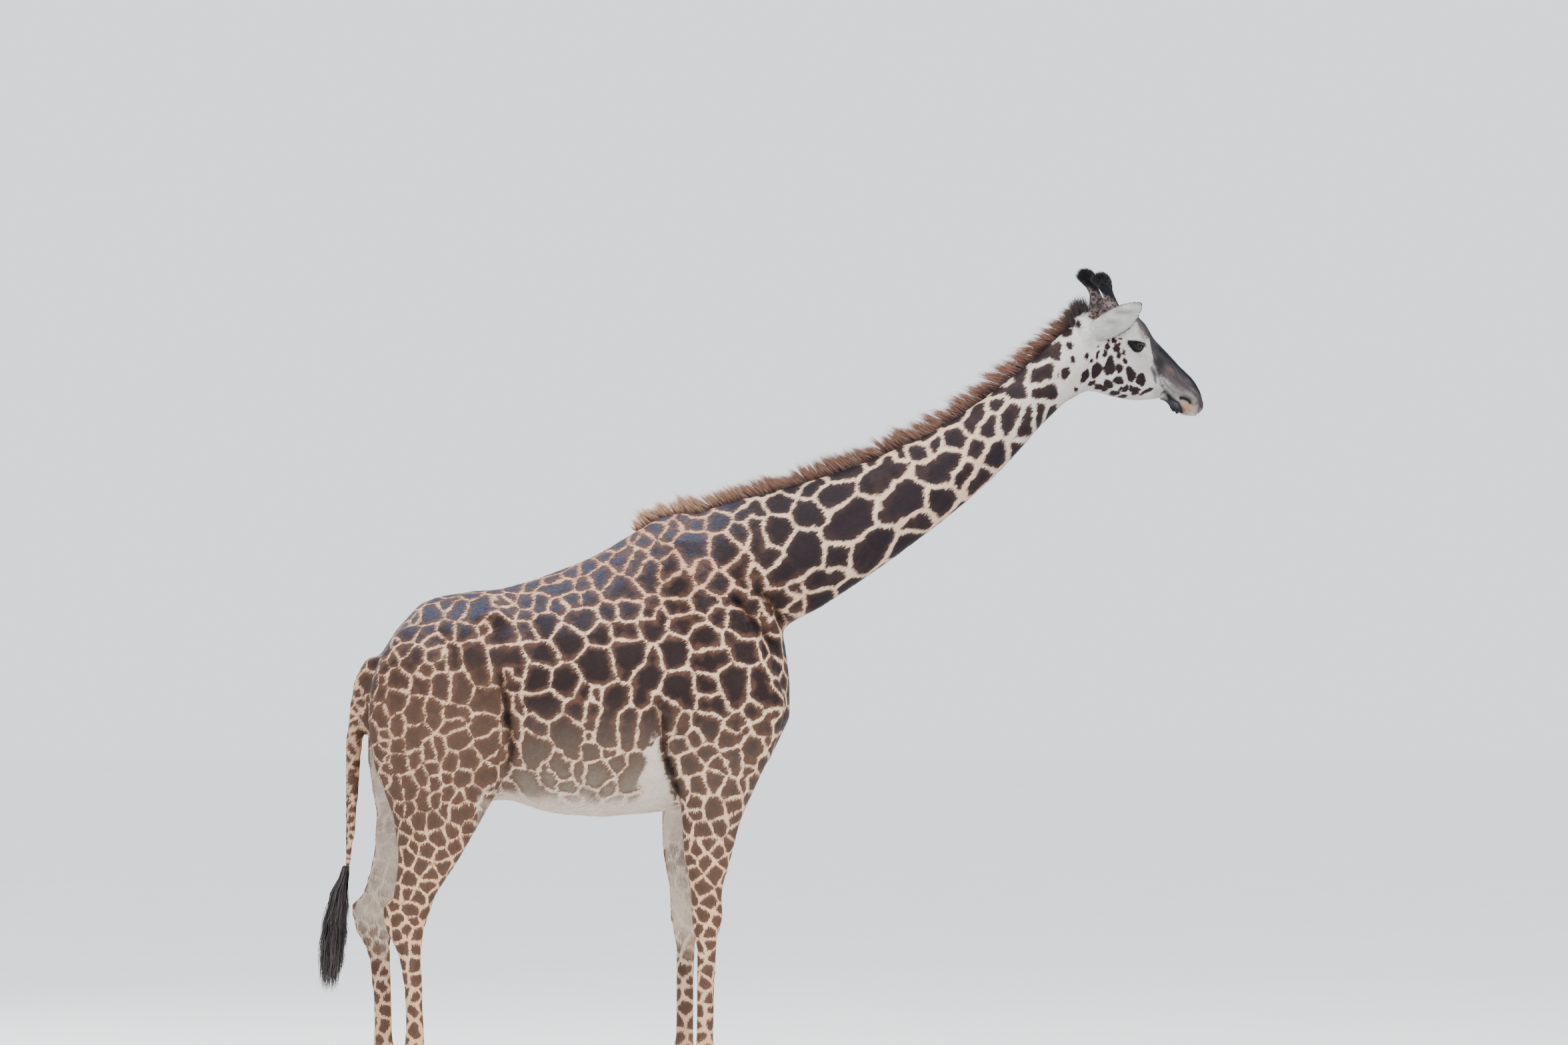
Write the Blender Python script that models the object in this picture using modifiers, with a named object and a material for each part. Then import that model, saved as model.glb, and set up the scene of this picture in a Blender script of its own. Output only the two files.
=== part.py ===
"""A Masai giraffe cow, life size, standing still with her neck carried low and her head turned a little away.

Frame: metres, +X towards the nose, +Y to the animal's left, +Z up. The origin is on the floor, under the middle of
the model's box. The body is modelled straight, fused into one flesh, and parted into named pieces with thin cuts.
The head is turned at the end, with all that it carries.
"""

import math

import bmesh
import bpy
from mathutils import Matrix, Vector

# ---- driving dimensions ----
CUT_GAP = 0.0005  # the width of every thin cut between two pieces
FIT_GAP = 0.0010  # how clear of the flesh the mane, ears, horns and tail tuft begin
BODY_VOXEL = 0.014
HEAD_VOXEL = 0.006
RING_POINTS = 24
ROWS_PER_SPAN = 4

HEAD_TURN = math.radians(26)  # away from the animal's right side
TURN_STARTS, TURN_ENDS, TURN_AXIS_X = 0.95, 1.36, 1.22

CORONET_Z = 0.112  # where the hoof's horn meets the skin
KNEE_Z = 0.95
HOCK_Z = 0.93
FORE_SET_BACK = 0.095  # how far the left forefoot stands behind the right one
HIND_SET_BACK = 0.150

EYE_RADIUS = 0.027
EYE_CENTRE = Vector((1.664, 0.0920, 3.459))
EAR_ROOT = Vector((1.428, 0.066, 3.510))
OSSICONE_ROOT = Vector((1.556, 0.056, 3.585))
OSSICONE_TIPS = {-1: Vector((1.490, 0.080, 3.768)), 1: Vector((1.498, 0.080, 3.790))}  # right and left

COLOURS = {
    "coat": ((0.42, 0.27, 0.18), 0.75),
    "mane_hair": ((0.33, 0.15, 0.09), 0.8),
    "black_hair": ((0.03, 0.025, 0.025), 0.7),
    "hoof": ((0.10, 0.08, 0.07), 0.45),
    "eye": ((0.02, 0.014, 0.012), 0.05),
}

# ---- sections: each row is (top or front x, z), (bottom or rear x, z), y of the middle, half width, widest, pinch ----
# widest: where along the section, from its bottom or rear, it is widest. pinch: how much narrower its top grows.
TRUNK = [
    (-1.750, 2.010, -1.750, 1.850, 0, 0.055, 0.50, 0.0),
    (-1.705, 2.065, -1.705, 1.650, 0, 0.125, 0.55, 0.0),
    (-1.635, 2.180, -1.635, 1.500, 0, 0.175, 0.58, 0.1),
    (-1.560, 2.275, -1.560, 1.430, 0, 0.220, 0.60, 0.1),
    (-1.470, 2.345, -1.470, 1.410, 0, 0.255, 0.62, 0.1),
    (-1.290, 2.380, -1.290, 1.420, 0, 0.285, 0.62, 0.1),
    (-1.130, 2.397, -1.130, 1.450, 0, 0.296, 0.55, 0.1),
    (-0.940, 2.457, -0.940, 1.395, 0, 0.332, 0.45, 0.1),
    (-0.730, 2.543, -0.730, 1.375, 0, 0.355, 0.42, 0.2),
    (-0.590, 2.628, -0.590, 1.383, 0, 0.344, 0.42, 0.3),
    (-0.420, 2.722, -0.420, 1.400, 0, 0.308, 0.42, 0.4),
    (-0.250, 2.720, -0.250, 1.420, 0, 0.272, 0.42, 0.4),
    (-0.100, 2.640, -0.100, 1.470, 0, 0.238, 0.44, 0.3),
    (0.020, 2.450, 0.020, 1.600, 0, 0.195, 0.48, 0.2),
    (0.095, 2.200, 0.095, 1.740, 0, 0.135, 0.50, 0.0),
    (0.128, 2.000, 0.128, 1.820, 0, 0.060, 0.50, 0.0),
]
NECK = [
    (-0.480, 2.600, -0.120, 2.050, 0, 0.180, 0.50, 0.3),
    (-0.246, 2.742, 0.106, 2.214, 0, 0.186, 0.48, 0.4),
    (0.101, 2.838, 0.318, 2.334, 0, 0.148, 0.48, 0.3),
    (0.448, 2.950, 0.684, 2.590, 0, 0.123, 0.48, 0.3),
    (0.795, 3.113, 1.016, 2.862, 0, 0.108, 0.48, 0.3),
    (1.107, 3.331, 1.266, 3.134, 0, 0.095, 0.50, 0.2),
    (1.325, 3.515, 1.424, 3.246, 0, 0.088, 0.52, 0.1),
    (1.440, 3.590, 1.500, 3.260, 0, 0.082, 0.55, 0.0),
]
HEAD = [
    (1.400, 3.595, 1.440, 3.262, 0, 0.074, 0.58, 0.0),
    (1.480, 3.632, 1.500, 3.260, 0, 0.082, 0.62, 0.0),
    (1.580, 3.645, 1.570, 3.243, 0, 0.090, 0.62, 0.1),
    (1.672, 3.628, 1.640, 3.228, 0, 0.094, 0.62, 0.2),
    (1.743, 3.576, 1.700, 3.222, 0, 0.091, 0.62, 0.2),
    (1.793, 3.506, 1.755, 3.223, 0, 0.075, 0.60, 0.2),
    (1.857, 3.449, 1.800, 3.227, 0, 0.062, 0.56, 0.2),
    (1.929, 3.380, 1.845, 3.231, 0, 0.055, 0.54, 0.2),
    (1.988, 3.330, 1.890, 3.206, 0, 0.055, 0.54, 0.1),
    (2.026, 3.278, 1.930, 3.176, 0, 0.053, 0.54, 0.0),
    (2.048, 3.219, 1.965, 3.157, 0, 0.045, 0.54, 0.0),
    (2.050, 3.185, 2.005, 3.154, 0, 0.024, 0.54, 0.0),
]
# Limb, tail and tuft rows: (z, rear x, front x, y of the middle, half width)
HIND_LEG = [
    (2.220, -1.600, -1.260, 0.112, 0.090),
    (2.050, -1.700, -1.165, 0.153, 0.128),
    (1.850, -1.735, -1.112, 0.165, 0.142),
    (1.650, -1.715, -1.105, 0.167, 0.138),
    (1.520, -1.675, -1.149, 0.163, 0.124),
    (1.380, -1.625, -1.218, 0.158, 0.103),
    (1.200, -1.605, -1.322, 0.151, 0.083),
    (1.050, -1.622, -1.420, 0.147, 0.068),
    (0.960, -1.660, -1.452, 0.142, 0.060),
    (0.880, -1.655, -1.480, 0.140, 0.057),
    (0.780, -1.605, -1.490, 0.138, 0.047),
    (0.620, -1.578, -1.485, 0.138, 0.040),
    (0.450, -1.572, -1.480, 0.138, 0.039),
    (0.345, -1.578, -1.470, 0.140, 0.047),
    (0.270, -1.575, -1.440, 0.142, 0.054),
    (0.190, -1.545, -1.425, 0.144, 0.050),
    (0.120, -1.562, -1.400, 0.147, 0.064),
    (0.030, -1.562, -1.375, 0.147, 0.068),
]
FORE_LEG = [
    (2.620, -0.420, -0.220, 0.090, 0.050),
    (2.450, -0.450, -0.120, 0.138, 0.080),
    (2.250, -0.442, -0.020, 0.168, 0.106),
    (2.050, -0.428, 0.060, 0.178, 0.118),
    (1.880, -0.415, 0.112, 0.179, 0.123),
    (1.720, -0.395, 0.075, 0.175, 0.118),
    (1.570, -0.378, 0.005, 0.171, 0.108),
    (1.460, -0.364, -0.045, 0.174, 0.104),
    (1.350, -0.355, -0.090, 0.165, 0.091),
    (1.200, -0.345, -0.128, 0.155, 0.078),
    (1.070, -0.320, -0.163, 0.148, 0.066),
    (0.970, -0.314, -0.168, 0.145, 0.063),
    (0.900, -0.310, -0.178, 0.145, 0.059),
    (0.800, -0.290, -0.192, 0.145, 0.047),
    (0.600, -0.288, -0.200, 0.146, 0.040),
    (0.420, -0.292, -0.202, 0.147, 0.040),
    (0.345, -0.302, -0.196, 0.148, 0.049),
    (0.270, -0.305, -0.178, 0.150, 0.056),
    (0.190, -0.285, -0.165, 0.152, 0.052),
    (0.120, -0.302, -0.140, 0.155, 0.066),
    (0.030, -0.302, -0.115, 0.155, 0.070),
]
TAIL = [
    (2.090, -1.745, -1.640, 0, 0.048),
    (2.000, -1.795, -1.690, 0, 0.044),
    (1.900, -1.818, -1.745, 0, 0.040),
    (1.690, -1.840, -1.758, 0, 0.038),
    (1.520, -1.842, -1.770, 0, 0.034),
    (1.350, -1.842, -1.784, 0, 0.028),
    (1.180, -1.850, -1.808, 0, 0.020),
    (1.110, -1.852, -1.818, 0, 0.016),
]
TUFT = [
    (1.165, -1.862, -1.800, 0, 0.028),
    (1.120, -1.885, -1.795, 0, 0.038),
    (1.020, -1.935, -1.800, 0, 0.052),
    (0.900, -1.958, -1.812, 0, 0.056),
    (0.780, -1.962, -1.832, 0, 0.048),
    (0.660, -1.955, -1.862, 0, 0.030),
    (0.590, -1.940, -1.892, 0, 0.012),
]
# The mane's hair tips and, under them, a line sunk in the neck: (tip x, z), (sunk x, z), y, half width, widest, pinch
MANE = [
    (-0.575, 2.672, -0.530, 2.600, 0, 0.012, 0.3, 0.3),
    (-0.545, 2.735, -0.480, 2.620, 0, 0.020, 0.3, 0.3),
    (-0.420, 2.790, -0.370, 2.650, 0, 0.024, 0.3, 0.4),
    (-0.246, 2.828, -0.205, 2.680, 0, 0.024, 0.3, 0.4),
    (0.101, 2.914, 0.155, 2.760, 0, 0.024, 0.3, 0.4),
    (0.448, 3.040, 0.515, 2.870, 0, 0.024, 0.3, 0.4),
    (0.795, 3.216, 0.880, 3.045, 0, 0.024, 0.3, 0.4),
    (1.142, 3.480, 1.235, 3.345, 0, 0.023, 0.3, 0.4),
    (1.318, 3.610, 1.405, 3.470, 0, 0.022, 0.3, 0.4),
    (1.412, 3.664, 1.465, 3.530, 0, 0.016, 0.3, 0.3),
    (1.450, 3.660, 1.490, 3.550, 0, 0.008, 0.3, 0.3),
]
# Ear, from its root: (distance, half width, half thickness, depth of the cup)
EAR = [
    (0.000, 0.028, 0.022, 0.004),
    (0.040, 0.042, 0.013, 0.016),
    (0.080, 0.056, 0.008, 0.026),
    (0.130, 0.064, 0.006, 0.028),
    (0.180, 0.062, 0.005, 0.022),
    (0.225, 0.048, 0.004, 0.012),
    (0.262, 0.028, 0.0035, 0.005),
    (0.284, 0.007, 0.003, 0.001),
]
EAR_SAG = 0.014  # how far the ear's middle hangs under the line from its root to its tip
EAR_POINTS = {-1: Vector((0.69, 0.47, 0.46)), 1: Vector((0.62, 0.70, 0.35))}  # right and left, outwards as +Y
# Ossicone: (share of its length, radius). The hair of its crown is the wide end.
OSSICONE = [(0.0, 0.042), (0.25, 0.036), (0.45, 0.029), (0.60, 0.027), (0.76, 0.034), (0.92, 0.032), (1.0, 0.016)]

# Faces left in each piece of the flesh
BODY_FACES = 4700
HEAD_FACES = 2100


# ---- tools ----
def clear_scene():
    for old in list(bpy.data.objects):
        bpy.data.objects.remove(old)


def make_material(name):
    colour, roughness = COLOURS[name]
    material = bpy.data.materials.new(name)
    material.use_nodes = True
    shader = material.node_tree.nodes["Principled BSDF"]
    shader.inputs["Base Color"].default_value = (*colour, 1)
    shader.inputs["Roughness"].default_value = roughness
    shader.inputs["Metallic"].default_value = 0
    material.diffuse_color = (*colour, 1)
    return material


def new_object(name, mesh):
    made = bpy.data.objects.new(name, mesh)
    giraffe.objects.link(made)
    return made


def finish_bmesh(name, shape):
    """The closed shape as an object, with its faces pointing out."""
    bmesh.ops.recalc_face_normals(shape, faces=shape.faces)
    if shape.calc_volume(signed=True) < 0:
        bmesh.ops.reverse_faces(shape, faces=shape.faces)
    bmesh.ops.triangulate(shape, faces=shape.faces)
    mesh = bpy.data.meshes.new(name)
    shape.to_mesh(mesh)
    shape.free()
    return new_object(name, mesh)


def evened(rows, steps=ROWS_PER_SPAN):
    """The rows with smooth rows between them, on a Catmull-Rom curve."""
    smooth = []
    last = len(rows) - 1
    for i in range(last):
        p0, p1, p2, p3 = rows[max(i - 1, 0)], rows[i], rows[i + 1], rows[min(i + 2, last)]
        for k in range(steps):
            t = k / steps
            weights = (
                (-t + 2 * t**2 - t**3) / 2,
                (2 - 5 * t**2 + 3 * t**3) / 2,
                (t + 4 * t**2 - 3 * t**3) / 2,
                (-(t**2) + t**3) / 2,
            )
            smooth.append(tuple(sum(w * v for w, v in zip(weights, vs)) for vs in zip(p0, p1, p2, p3)))
    return smooth + [tuple(rows[-1])]


def loft(name, rings):
    """A closed tube through rings of points."""
    shape = bmesh.new()
    loops = [[shape.verts.new(p) for p in ring] for ring in rings]
    count = len(rings[0])
    for a, b in zip(loops, loops[1:]):
        for i in range(count):
            j = (i + 1) % count
            shape.faces.new((a[i], a[j], b[j], b[i]))
    shape.faces.new(loops[0])
    shape.faces.new(loops[-1])
    return finish_bmesh(name, shape)


def section(row, side=1, count=RING_POINTS):
    """One ring of a body: an egg between its top and bottom points, half_width out to each side."""
    x_top, z_top, x_bottom, z_bottom, y, half_width, widest, pinch = row
    top, bottom = Vector((x_top, side * y, z_top)), Vector((x_bottom, side * y, z_bottom))
    middle = bottom.lerp(top, widest)
    ring = []
    for i in range(count):
        angle = math.tau * i / count
        up = math.sin(angle)
        along = (top - middle) * up if up > 0 else (middle - bottom) * up
        narrowed = half_width * (1 - pinch * max(up, 0) ** 2)
        ring.append(middle + along + Vector((0, narrowed * math.cos(angle), 0)))
    return ring


def body_loft(name, rows, steps=ROWS_PER_SPAN, count=RING_POINTS):
    return loft(name, [section(row, count=count) for row in evened(rows, steps)])


def limb_loft(
    name, rows, side=1, set_back=0.0, moves_below=0.0, fully_at=0.0, steps=ROWS_PER_SPAN, count=RING_POINTS
):
    """A limb of level sections. Below moves_below it moves back, by set_back from fully_at down."""
    rings = []
    for z, rear, front, y, half_width in evened(rows, steps):
        t = 0.0
        if set_back:
            t = min(max((moves_below - z) / (moves_below - fully_at), 0), 1)
        back = set_back * t * t * (3 - 2 * t)
        rings.append(section((front - back, z, rear - back, z, y, half_width, 0.5, 0), side, count))
    return loft(name, rings)


def blob(name, centre, radii, pitch=0.0):
    """An ellipsoid, such as a muscle's belly."""
    shape = bmesh.new()
    bmesh.ops.create_uvsphere(shape, u_segments=16, v_segments=10, radius=1)
    turned = Matrix.Rotation(pitch, 4, "Y") @ Matrix.Diagonal((*radii, 1))
    bmesh.ops.transform(shape, matrix=Matrix.Translation(centre) @ turned, verts=shape.verts)
    return finish_bmesh(name, shape)


def prism(name, outline, low, high, along):
    """A cutter: an outline of (a, b) points pushed from low to high along X or Y."""
    shape = bmesh.new()
    if along == "X":
        points = [Vector((low, a, b)) for a, b in outline]
        push = Vector((high - low, 0, 0))
    else:
        points = [Vector((a, low, b)) for a, b in outline]
        push = Vector((0, high - low, 0))
    base = shape.faces.new([shape.verts.new(p) for p in points])
    pushed = bmesh.ops.extrude_face_region(shape, geom=[base])
    moved = [v for v in pushed["geom"] if isinstance(v, bmesh.types.BMVert)]
    bmesh.ops.translate(shape, vec=push, verts=moved)
    return finish_bmesh(name, shape)


def baked(source, name):
    """A new object, in triangles, from what the source evaluates to. The source is left as it is."""
    bpy.context.view_layer.update()
    graph = bpy.context.evaluated_depsgraph_get()
    made = new_object(name, bpy.data.meshes.new_from_object(source.evaluated_get(graph)))
    shape = bmesh.new()
    shape.from_mesh(made.data)
    bmesh.ops.triangulate(shape, faces=shape.faces)
    shape.to_mesh(made.data)
    shape.free()
    return made


def without(*objects):
    for old in objects:
        bpy.data.objects.remove(old)


def boolean(target, cutter, operation, name):
    """The target cut by, or kept inside, the cutter, as a new object."""
    cut = target.modifiers.new("cut", "BOOLEAN")
    cut.operation = operation
    cut.object = cutter
    made = baked(target, name)
    target.modifiers.remove(cut)
    return made


def grown(source, by):
    """A copy whose surface stands by outside the source's."""
    copy = new_object("grown", source.data.copy())
    push = copy.modifiers.new("push", "DISPLACE")
    push.strength = by
    push.mid_level = 0
    made = baked(copy, "grown_host")
    without(copy)
    return made


def largest_piece(target):
    """Drops the loose crumbs that a cut leaves."""
    shape = bmesh.new()
    shape.from_mesh(target.data)
    todo = set(shape.verts)
    islands = []
    while todo:
        front = [todo.pop()]
        island = set(front)
        while front:
            for edge in front.pop().link_edges:
                for vert in edge.verts:
                    if vert in todo:
                        todo.discard(vert)
                        island.add(vert)
                        front.append(vert)
        islands.append(island)
    islands.sort(key=len)
    crumbs = [vert for island in islands[:-1] for vert in island]
    bmesh.ops.delete(shape, geom=crumbs, context="VERTS")
    shape.to_mesh(target.data)
    shape.free()


def fuse(name, shapes, voxel, smoothing, faces):
    """The shapes grown together into one smooth closed skin of about that many faces."""
    shape = bmesh.new()
    for part in shapes:
        shape.from_mesh(part.data)
    joined = finish_bmesh("joined", shape)
    remesh = joined.modifiers.new("fuse", "REMESH")
    remesh.mode = "VOXEL"
    remesh.voxel_size = voxel
    soften = joined.modifiers.new("soften", "SMOOTH")
    soften.factor = 0.5
    soften.iterations = smoothing
    dense = baked(joined, "dense")
    bpy.context.view_layer.update()
    thin = dense.modifiers.new("thin", "DECIMATE")
    thin.ratio = faces / (2 * len(dense.data.polygons))
    made = baked(dense, name)
    without(joined, dense)
    return made


def fitted(piece, hosts, name):
    """The piece with the hosts cut out of it, a thin gap clear of them."""
    for host in hosts:
        cutter = grown(host, FIT_GAP)
        cut = boolean(piece, cutter, "DIFFERENCE", name)
        without(piece, cutter)
        piece = cut
    largest_piece(piece)
    piece.name = name
    return piece


def carved(rest, name, outline, low, high, along):
    """Takes the named piece out of the rest with one cutter. Returns (piece, what is left)."""
    cutter = posed(prism("cutter", outline, low, high, along))
    piece = boolean(rest, cutter, "INTERSECT", name)
    without(cutter)
    wider = prism("wider", outline, low, high, along)
    centre = sum((v.co for v in wider.data.vertices), Vector()) / len(wider.data.vertices)
    growth = Matrix.Diagonal([1 + 2 * CUT_GAP / side for side in wider.dimensions] + [1])
    wider.data.transform(Matrix.Translation(centre) @ growth @ Matrix.Translation(-centre))
    posed(wider)
    left = boolean(rest, wider, "DIFFERENCE", "rest")
    without(rest, wider)
    largest_piece(piece)
    largest_piece(left)
    piece.name = name
    return piece, left


# ---- the pose ----
def turned(point):
    """Where a point goes when the head and the end of the neck turn about an upright axis."""
    t = min(max((point.x - TURN_STARTS) / (TURN_ENDS - TURN_STARTS), 0), 1)
    angle = HEAD_TURN * t * t * (3 - 2 * t)
    x, y = point.x - TURN_AXIS_X, point.y
    return Vector(
        (
            TURN_AXIS_X + x * math.cos(angle) - y * math.sin(angle),
            x * math.sin(angle) + y * math.cos(angle),
            point.z,
        )
    )


def posed(piece):
    for vert in piece.data.vertices:
        vert.co = turned(vert.co)
    return piece


def centre_all(pieces):
    points = [vert.co for piece in pieces for vert in piece.data.vertices]
    middle = Vector((0, 0, 0))
    for axis in (0, 1):
        middle[axis] = (min(p[axis] for p in points) + max(p[axis] for p in points)) / 2
    for piece in pieces:
        piece.data.transform(Matrix.Translation(-middle))


# ---- the flesh ----
def leg_shapes():
    shapes = []
    for side in (-1, 1):
        set_back = side == 1
        hind = HIND_SET_BACK if set_back else 0
        fore = FORE_SET_BACK if set_back else 0
        shapes.append(limb_loft("hind", HIND_LEG, side, hind, moves_below=2.0, fully_at=0.9))
        shapes.append(limb_loft("fore", FORE_LEG, side, fore, moves_below=1.9, fully_at=1.3))
        shapes.append(blob("point_of_hock", (-1.640 - hind, side * 0.141, 0.965), (0.034, 0.030, 0.060)))
        shapes.append(blob("knee_cap", (-0.185 - fore, side * 0.145, 0.955), (0.022, 0.048, 0.070)))
        shapes.append(blob("elbow", (-0.335 - fore * 0.6, side * 0.196, 1.560), (0.055, 0.058, 0.110)))
        shapes.append(blob("stifle", (-1.225, side * 0.195, 1.600), (0.090, 0.080, 0.170)))
        shapes.append(blob("hip_point", (-1.180, side * 0.185, 2.245), (0.085, 0.060, 0.065)))
        shapes.append(blob("haunch", (-1.500, side * 0.150, 1.960), (0.210, 0.135, 0.230)))
    return shapes


def head_shapes():
    shapes = [body_loft("skull", HEAD), body_loft("neck_end", NECK[-3:])]
    for side in (-1, 1):
        x, y, z = EYE_CENTRE
        shapes.append(blob("orbit", (x - 0.006, side * (y - 0.014), z + 0.004), (0.058, 0.036, 0.046), 0.5))
        shapes.append(blob("brow", (x + 0.002, side * (y - 0.014), z + 0.036), (0.052, 0.030, 0.022), 0.6))
        shapes.append(blob("cheek", (1.590, side * 0.050, 3.350), (0.095, 0.036, 0.085), 0.3))
        shapes.append(blob("nostril_wing", (1.972, side * 0.031, 3.262), (0.046, 0.028, 0.034), 0.8))
        shapes.append(blob("upper_lip", (1.992, side * 0.022, 3.198), (0.038, 0.027, 0.036), 0.5))
        shapes.append(blob("ear_root", EAR_ROOT * Vector((1, side, 1)), (0.046, 0.034, 0.044)))
        shapes.append(blob("horn_boss", OSSICONE_ROOT * Vector((1, side, 1)), (0.070, 0.050, 0.074), 0.3))
    shapes.append(blob("chin", (1.930, 0, 3.196), (0.046, 0.035, 0.024), 0.65))
    return shapes


def mirrored(vector, side):
    return Vector((vector.x, vector.y * side, vector.z))


def make_ear(side, hosts):
    """A leaf-shaped cup, its opening turned to the nose."""
    along = mirrored(EAR_POINTS[side], side).normalized()
    back = mirrored(Vector((-0.44, 0.90, 0.05)), side)
    back = (back - along * back.dot(along)).normalized()
    across = along.cross(back)
    root = mirrored(EAR_ROOT, side)
    rings = []
    for distance, half_width, thickness, cup in evened(EAR, 2):
        sag = EAR_SAG * math.sin(math.pi * distance / EAR[-1][0])
        ring = []
        for i in range(14):
            angle = math.tau * i / 14
            out, through = math.cos(angle), math.sin(angle)
            bend = cup * (1 - out * out) - cup / 2
            sideways = half_width * out - side * sag
            ring.append(root + along * distance + across * sideways + back * (thickness * through + bend))
        rings.append(ring)
    name = "ear_left" if side == 1 else "ear_right"
    return fitted(posed(loft("ear", rings)), hosts, name)


def make_ossicone(side, hosts):
    """A skin-covered horn with a crown of hair, leaning back and curving in."""
    root, tip = mirrored(OSSICONE_ROOT, side), mirrored(OSSICONE_TIPS[side], side)
    axis = (tip - root).normalized()
    ahead = Vector((0, 1, 0)).cross(axis).normalized()
    rings = []
    for share, radius in evened(OSSICONE, 2):
        bow = ahead * 0.016 * math.sin(math.pi * share)
        middle = root.lerp(tip, share) + bow
        rings.append(
            [
                middle + (ahead * math.cos(math.tau * i / 12) + Vector((0, math.sin(math.tau * i / 12), 0))) * radius
                for i in range(12)
            ]
        )
    name = "ossicone_left" if side == 1 else "ossicone_right"
    return fitted(posed(loft("ossicone", rings)), hosts, name)


def make_hooves(kind, side, set_back):
    """Two claws under one foot, flat on the floor, a slit apart."""
    rows = FORE_LEG if kind == "fore" else HIND_LEG
    _, rear, front, y, half_width = rows[-2]
    centre_x = (rear + front) / 2 - set_back
    for claw, outward in (("inner", -1), ("outer", 1)):
        levels = [
            # height, rear and front reach from the foot's middle, half width of the whole foot
            (0.000, 0.088, 0.118, half_width + 0.012),
            (0.020, 0.088, 0.117, half_width + 0.012),
            (0.070, 0.086, 0.098, half_width + 0.006),
            (CORONET_Z - CUT_GAP, 0.080, 0.080, half_width),
        ]
        rings = []
        for z, back, ahead, half in levels:
            ring = []
            for i in range(13):
                angle = math.pi * i / 12 - math.pi / 2
                reach = ahead if angle > 0 else back
                out = 0.004 + (half - 0.004) * math.cos(angle) ** 0.7
                ring.append(Vector((centre_x + reach * math.sin(angle), side * (y + outward * out), z)))
            rings.append(ring)
        where = "left" if side == 1 else "right"
        loft(f"hoof_{kind}_{where}_{claw}", rings)


# ---- the whole animal ----
clear_scene()
giraffe = bpy.data.collections.new("giraffe")
bpy.context.scene.collection.children.link(giraffe)
materials = {name: make_material(name) for name in COLOURS}

shapes = [body_loft("trunk_shape", TRUNK), body_loft("neck_shape", NECK), body_loft("skull_shape", HEAD)]
shapes += [limb_loft("tail_shape", TAIL)] + leg_shapes()
body = fuse("body", shapes, BODY_VOXEL, 6, BODY_FACES)
without(*shapes)

shapes = head_shapes()
head = fuse("head_flesh", shapes, HEAD_VOXEL, 12, HEAD_FACES)
without(*shapes)

# the flesh before any cut: what the mane, ears, horns and tail tuft are fitted to
posed(body)
posed(head)
uncut = [new_object("uncut", part.data.copy()) for part in (body, head)]

# the head ends, and the neck begins, on one slanting plane behind the jaw
poll, throat = (1.362, 3.800), (1.470, 3.000)
ahead_of_neck = [poll, throat, (2.2, 3.0), (2.2, 3.8)]
head_piece, head_stub = carved(head, "head", ahead_of_neck, -0.4, 0.4, "Y")
unused, body = carved(body, "unused", ahead_of_neck, -0.4, 0.4, "Y")
without(head_stub, unused)
head = head_piece

# the hooves' horn takes the place of the flesh below the coronet
for x_low, x_high in ((-1.9, -1.2), (-0.6, 0.1)):
    foot_ends = [(-0.4, -0.1), (0.4, -0.1), (0.4, CORONET_Z), (-0.4, CORONET_Z)]
    cutter = prism("cutter", foot_ends, x_low, x_high, "X")
    footless = boolean(body, cutter, "DIFFERENCE", "footless")
    without(body, cutter)
    body = footless

# tail, below its root
tail, body = carved(body, "tail", [(-0.09, 1.05), (0.09, 1.05), (0.09, 1.93), (-0.09, 1.93)], -2.0, -1.743, "X")

# each leg: its lower half below the knee or hock, then its upper half with the haunch or shoulder
pieces = [tail]
for side, where in ((-1, "right"), (1, "left")):
    for kind, joint_z, x_low, x_high, inner, top in (
        ("hind", HOCK_Z, -1.95, -1.085, 0.225, 2.25),
        ("fore", KNEE_Z, -0.452, 0.3, 0.215, 2.40),
    ):
        below = [(0, 0.0), (0, joint_z), (side * 0.6, joint_z), (side * 0.6, 0.0)]
        above = [
            (0, joint_z),
            (0, 1.340),
            (side * 0.055, 1.440),
            (side * inner, top),
            (side * 0.6, top),
            (side * 0.6, joint_z),
        ]
        lower_leg, body = carved(body, f"{kind}leg_{where}_lower", below, x_low, x_high, "X")
        upper_leg, body = carved(body, f"{kind}leg_{where}_upper", above, x_low, x_high, "X")
        pieces += [lower_leg, upper_leg]

# neck in front of the withers and shoulders
base_of_neck = [(-0.300, 2.990), (0.140, 2.060), (1.7, 3.0), (1.7, 3.9), (0.9, 3.9)]
neck, trunk = carved(body, "neck", base_of_neck, -0.5, 0.5, "Y")
trunk.name = "trunk"
pieces += [neck, trunk]

tuft = fitted(limb_loft("tuft", TUFT, steps=2, count=14), uncut[:1], "tail_tuft")
mane = fitted(posed(body_loft("mane_shape", MANE, 3, 10)), uncut, "mane")
ears = [make_ear(side, uncut + [mane]) for side in (-1, 1)]
ossicones = [make_ossicone(side, uncut + [mane] + ears) for side in (-1, 1)]
without(*uncut)
for side, where in ((-1, "right"), (1, "left")):
    ball = EYE_RADIUS * Vector((1, 1, 1))
    posed(blob(f"eye_{where}", mirrored(EYE_CENTRE, side), ball))
    socket = posed(blob("socket", mirrored(EYE_CENTRE, side), ball + Vector((1, 1, 1)) * CUT_GAP))
    hollowed = boolean(head, socket, "DIFFERENCE", "hollowed")
    without(head, socket)
    head = hollowed
head.name = "head"

for kind, set_back in (("fore", FORE_SET_BACK), ("hind", HIND_SET_BACK)):
    make_hooves(kind, -1, 0)
    make_hooves(kind, 1, set_back)

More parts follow.
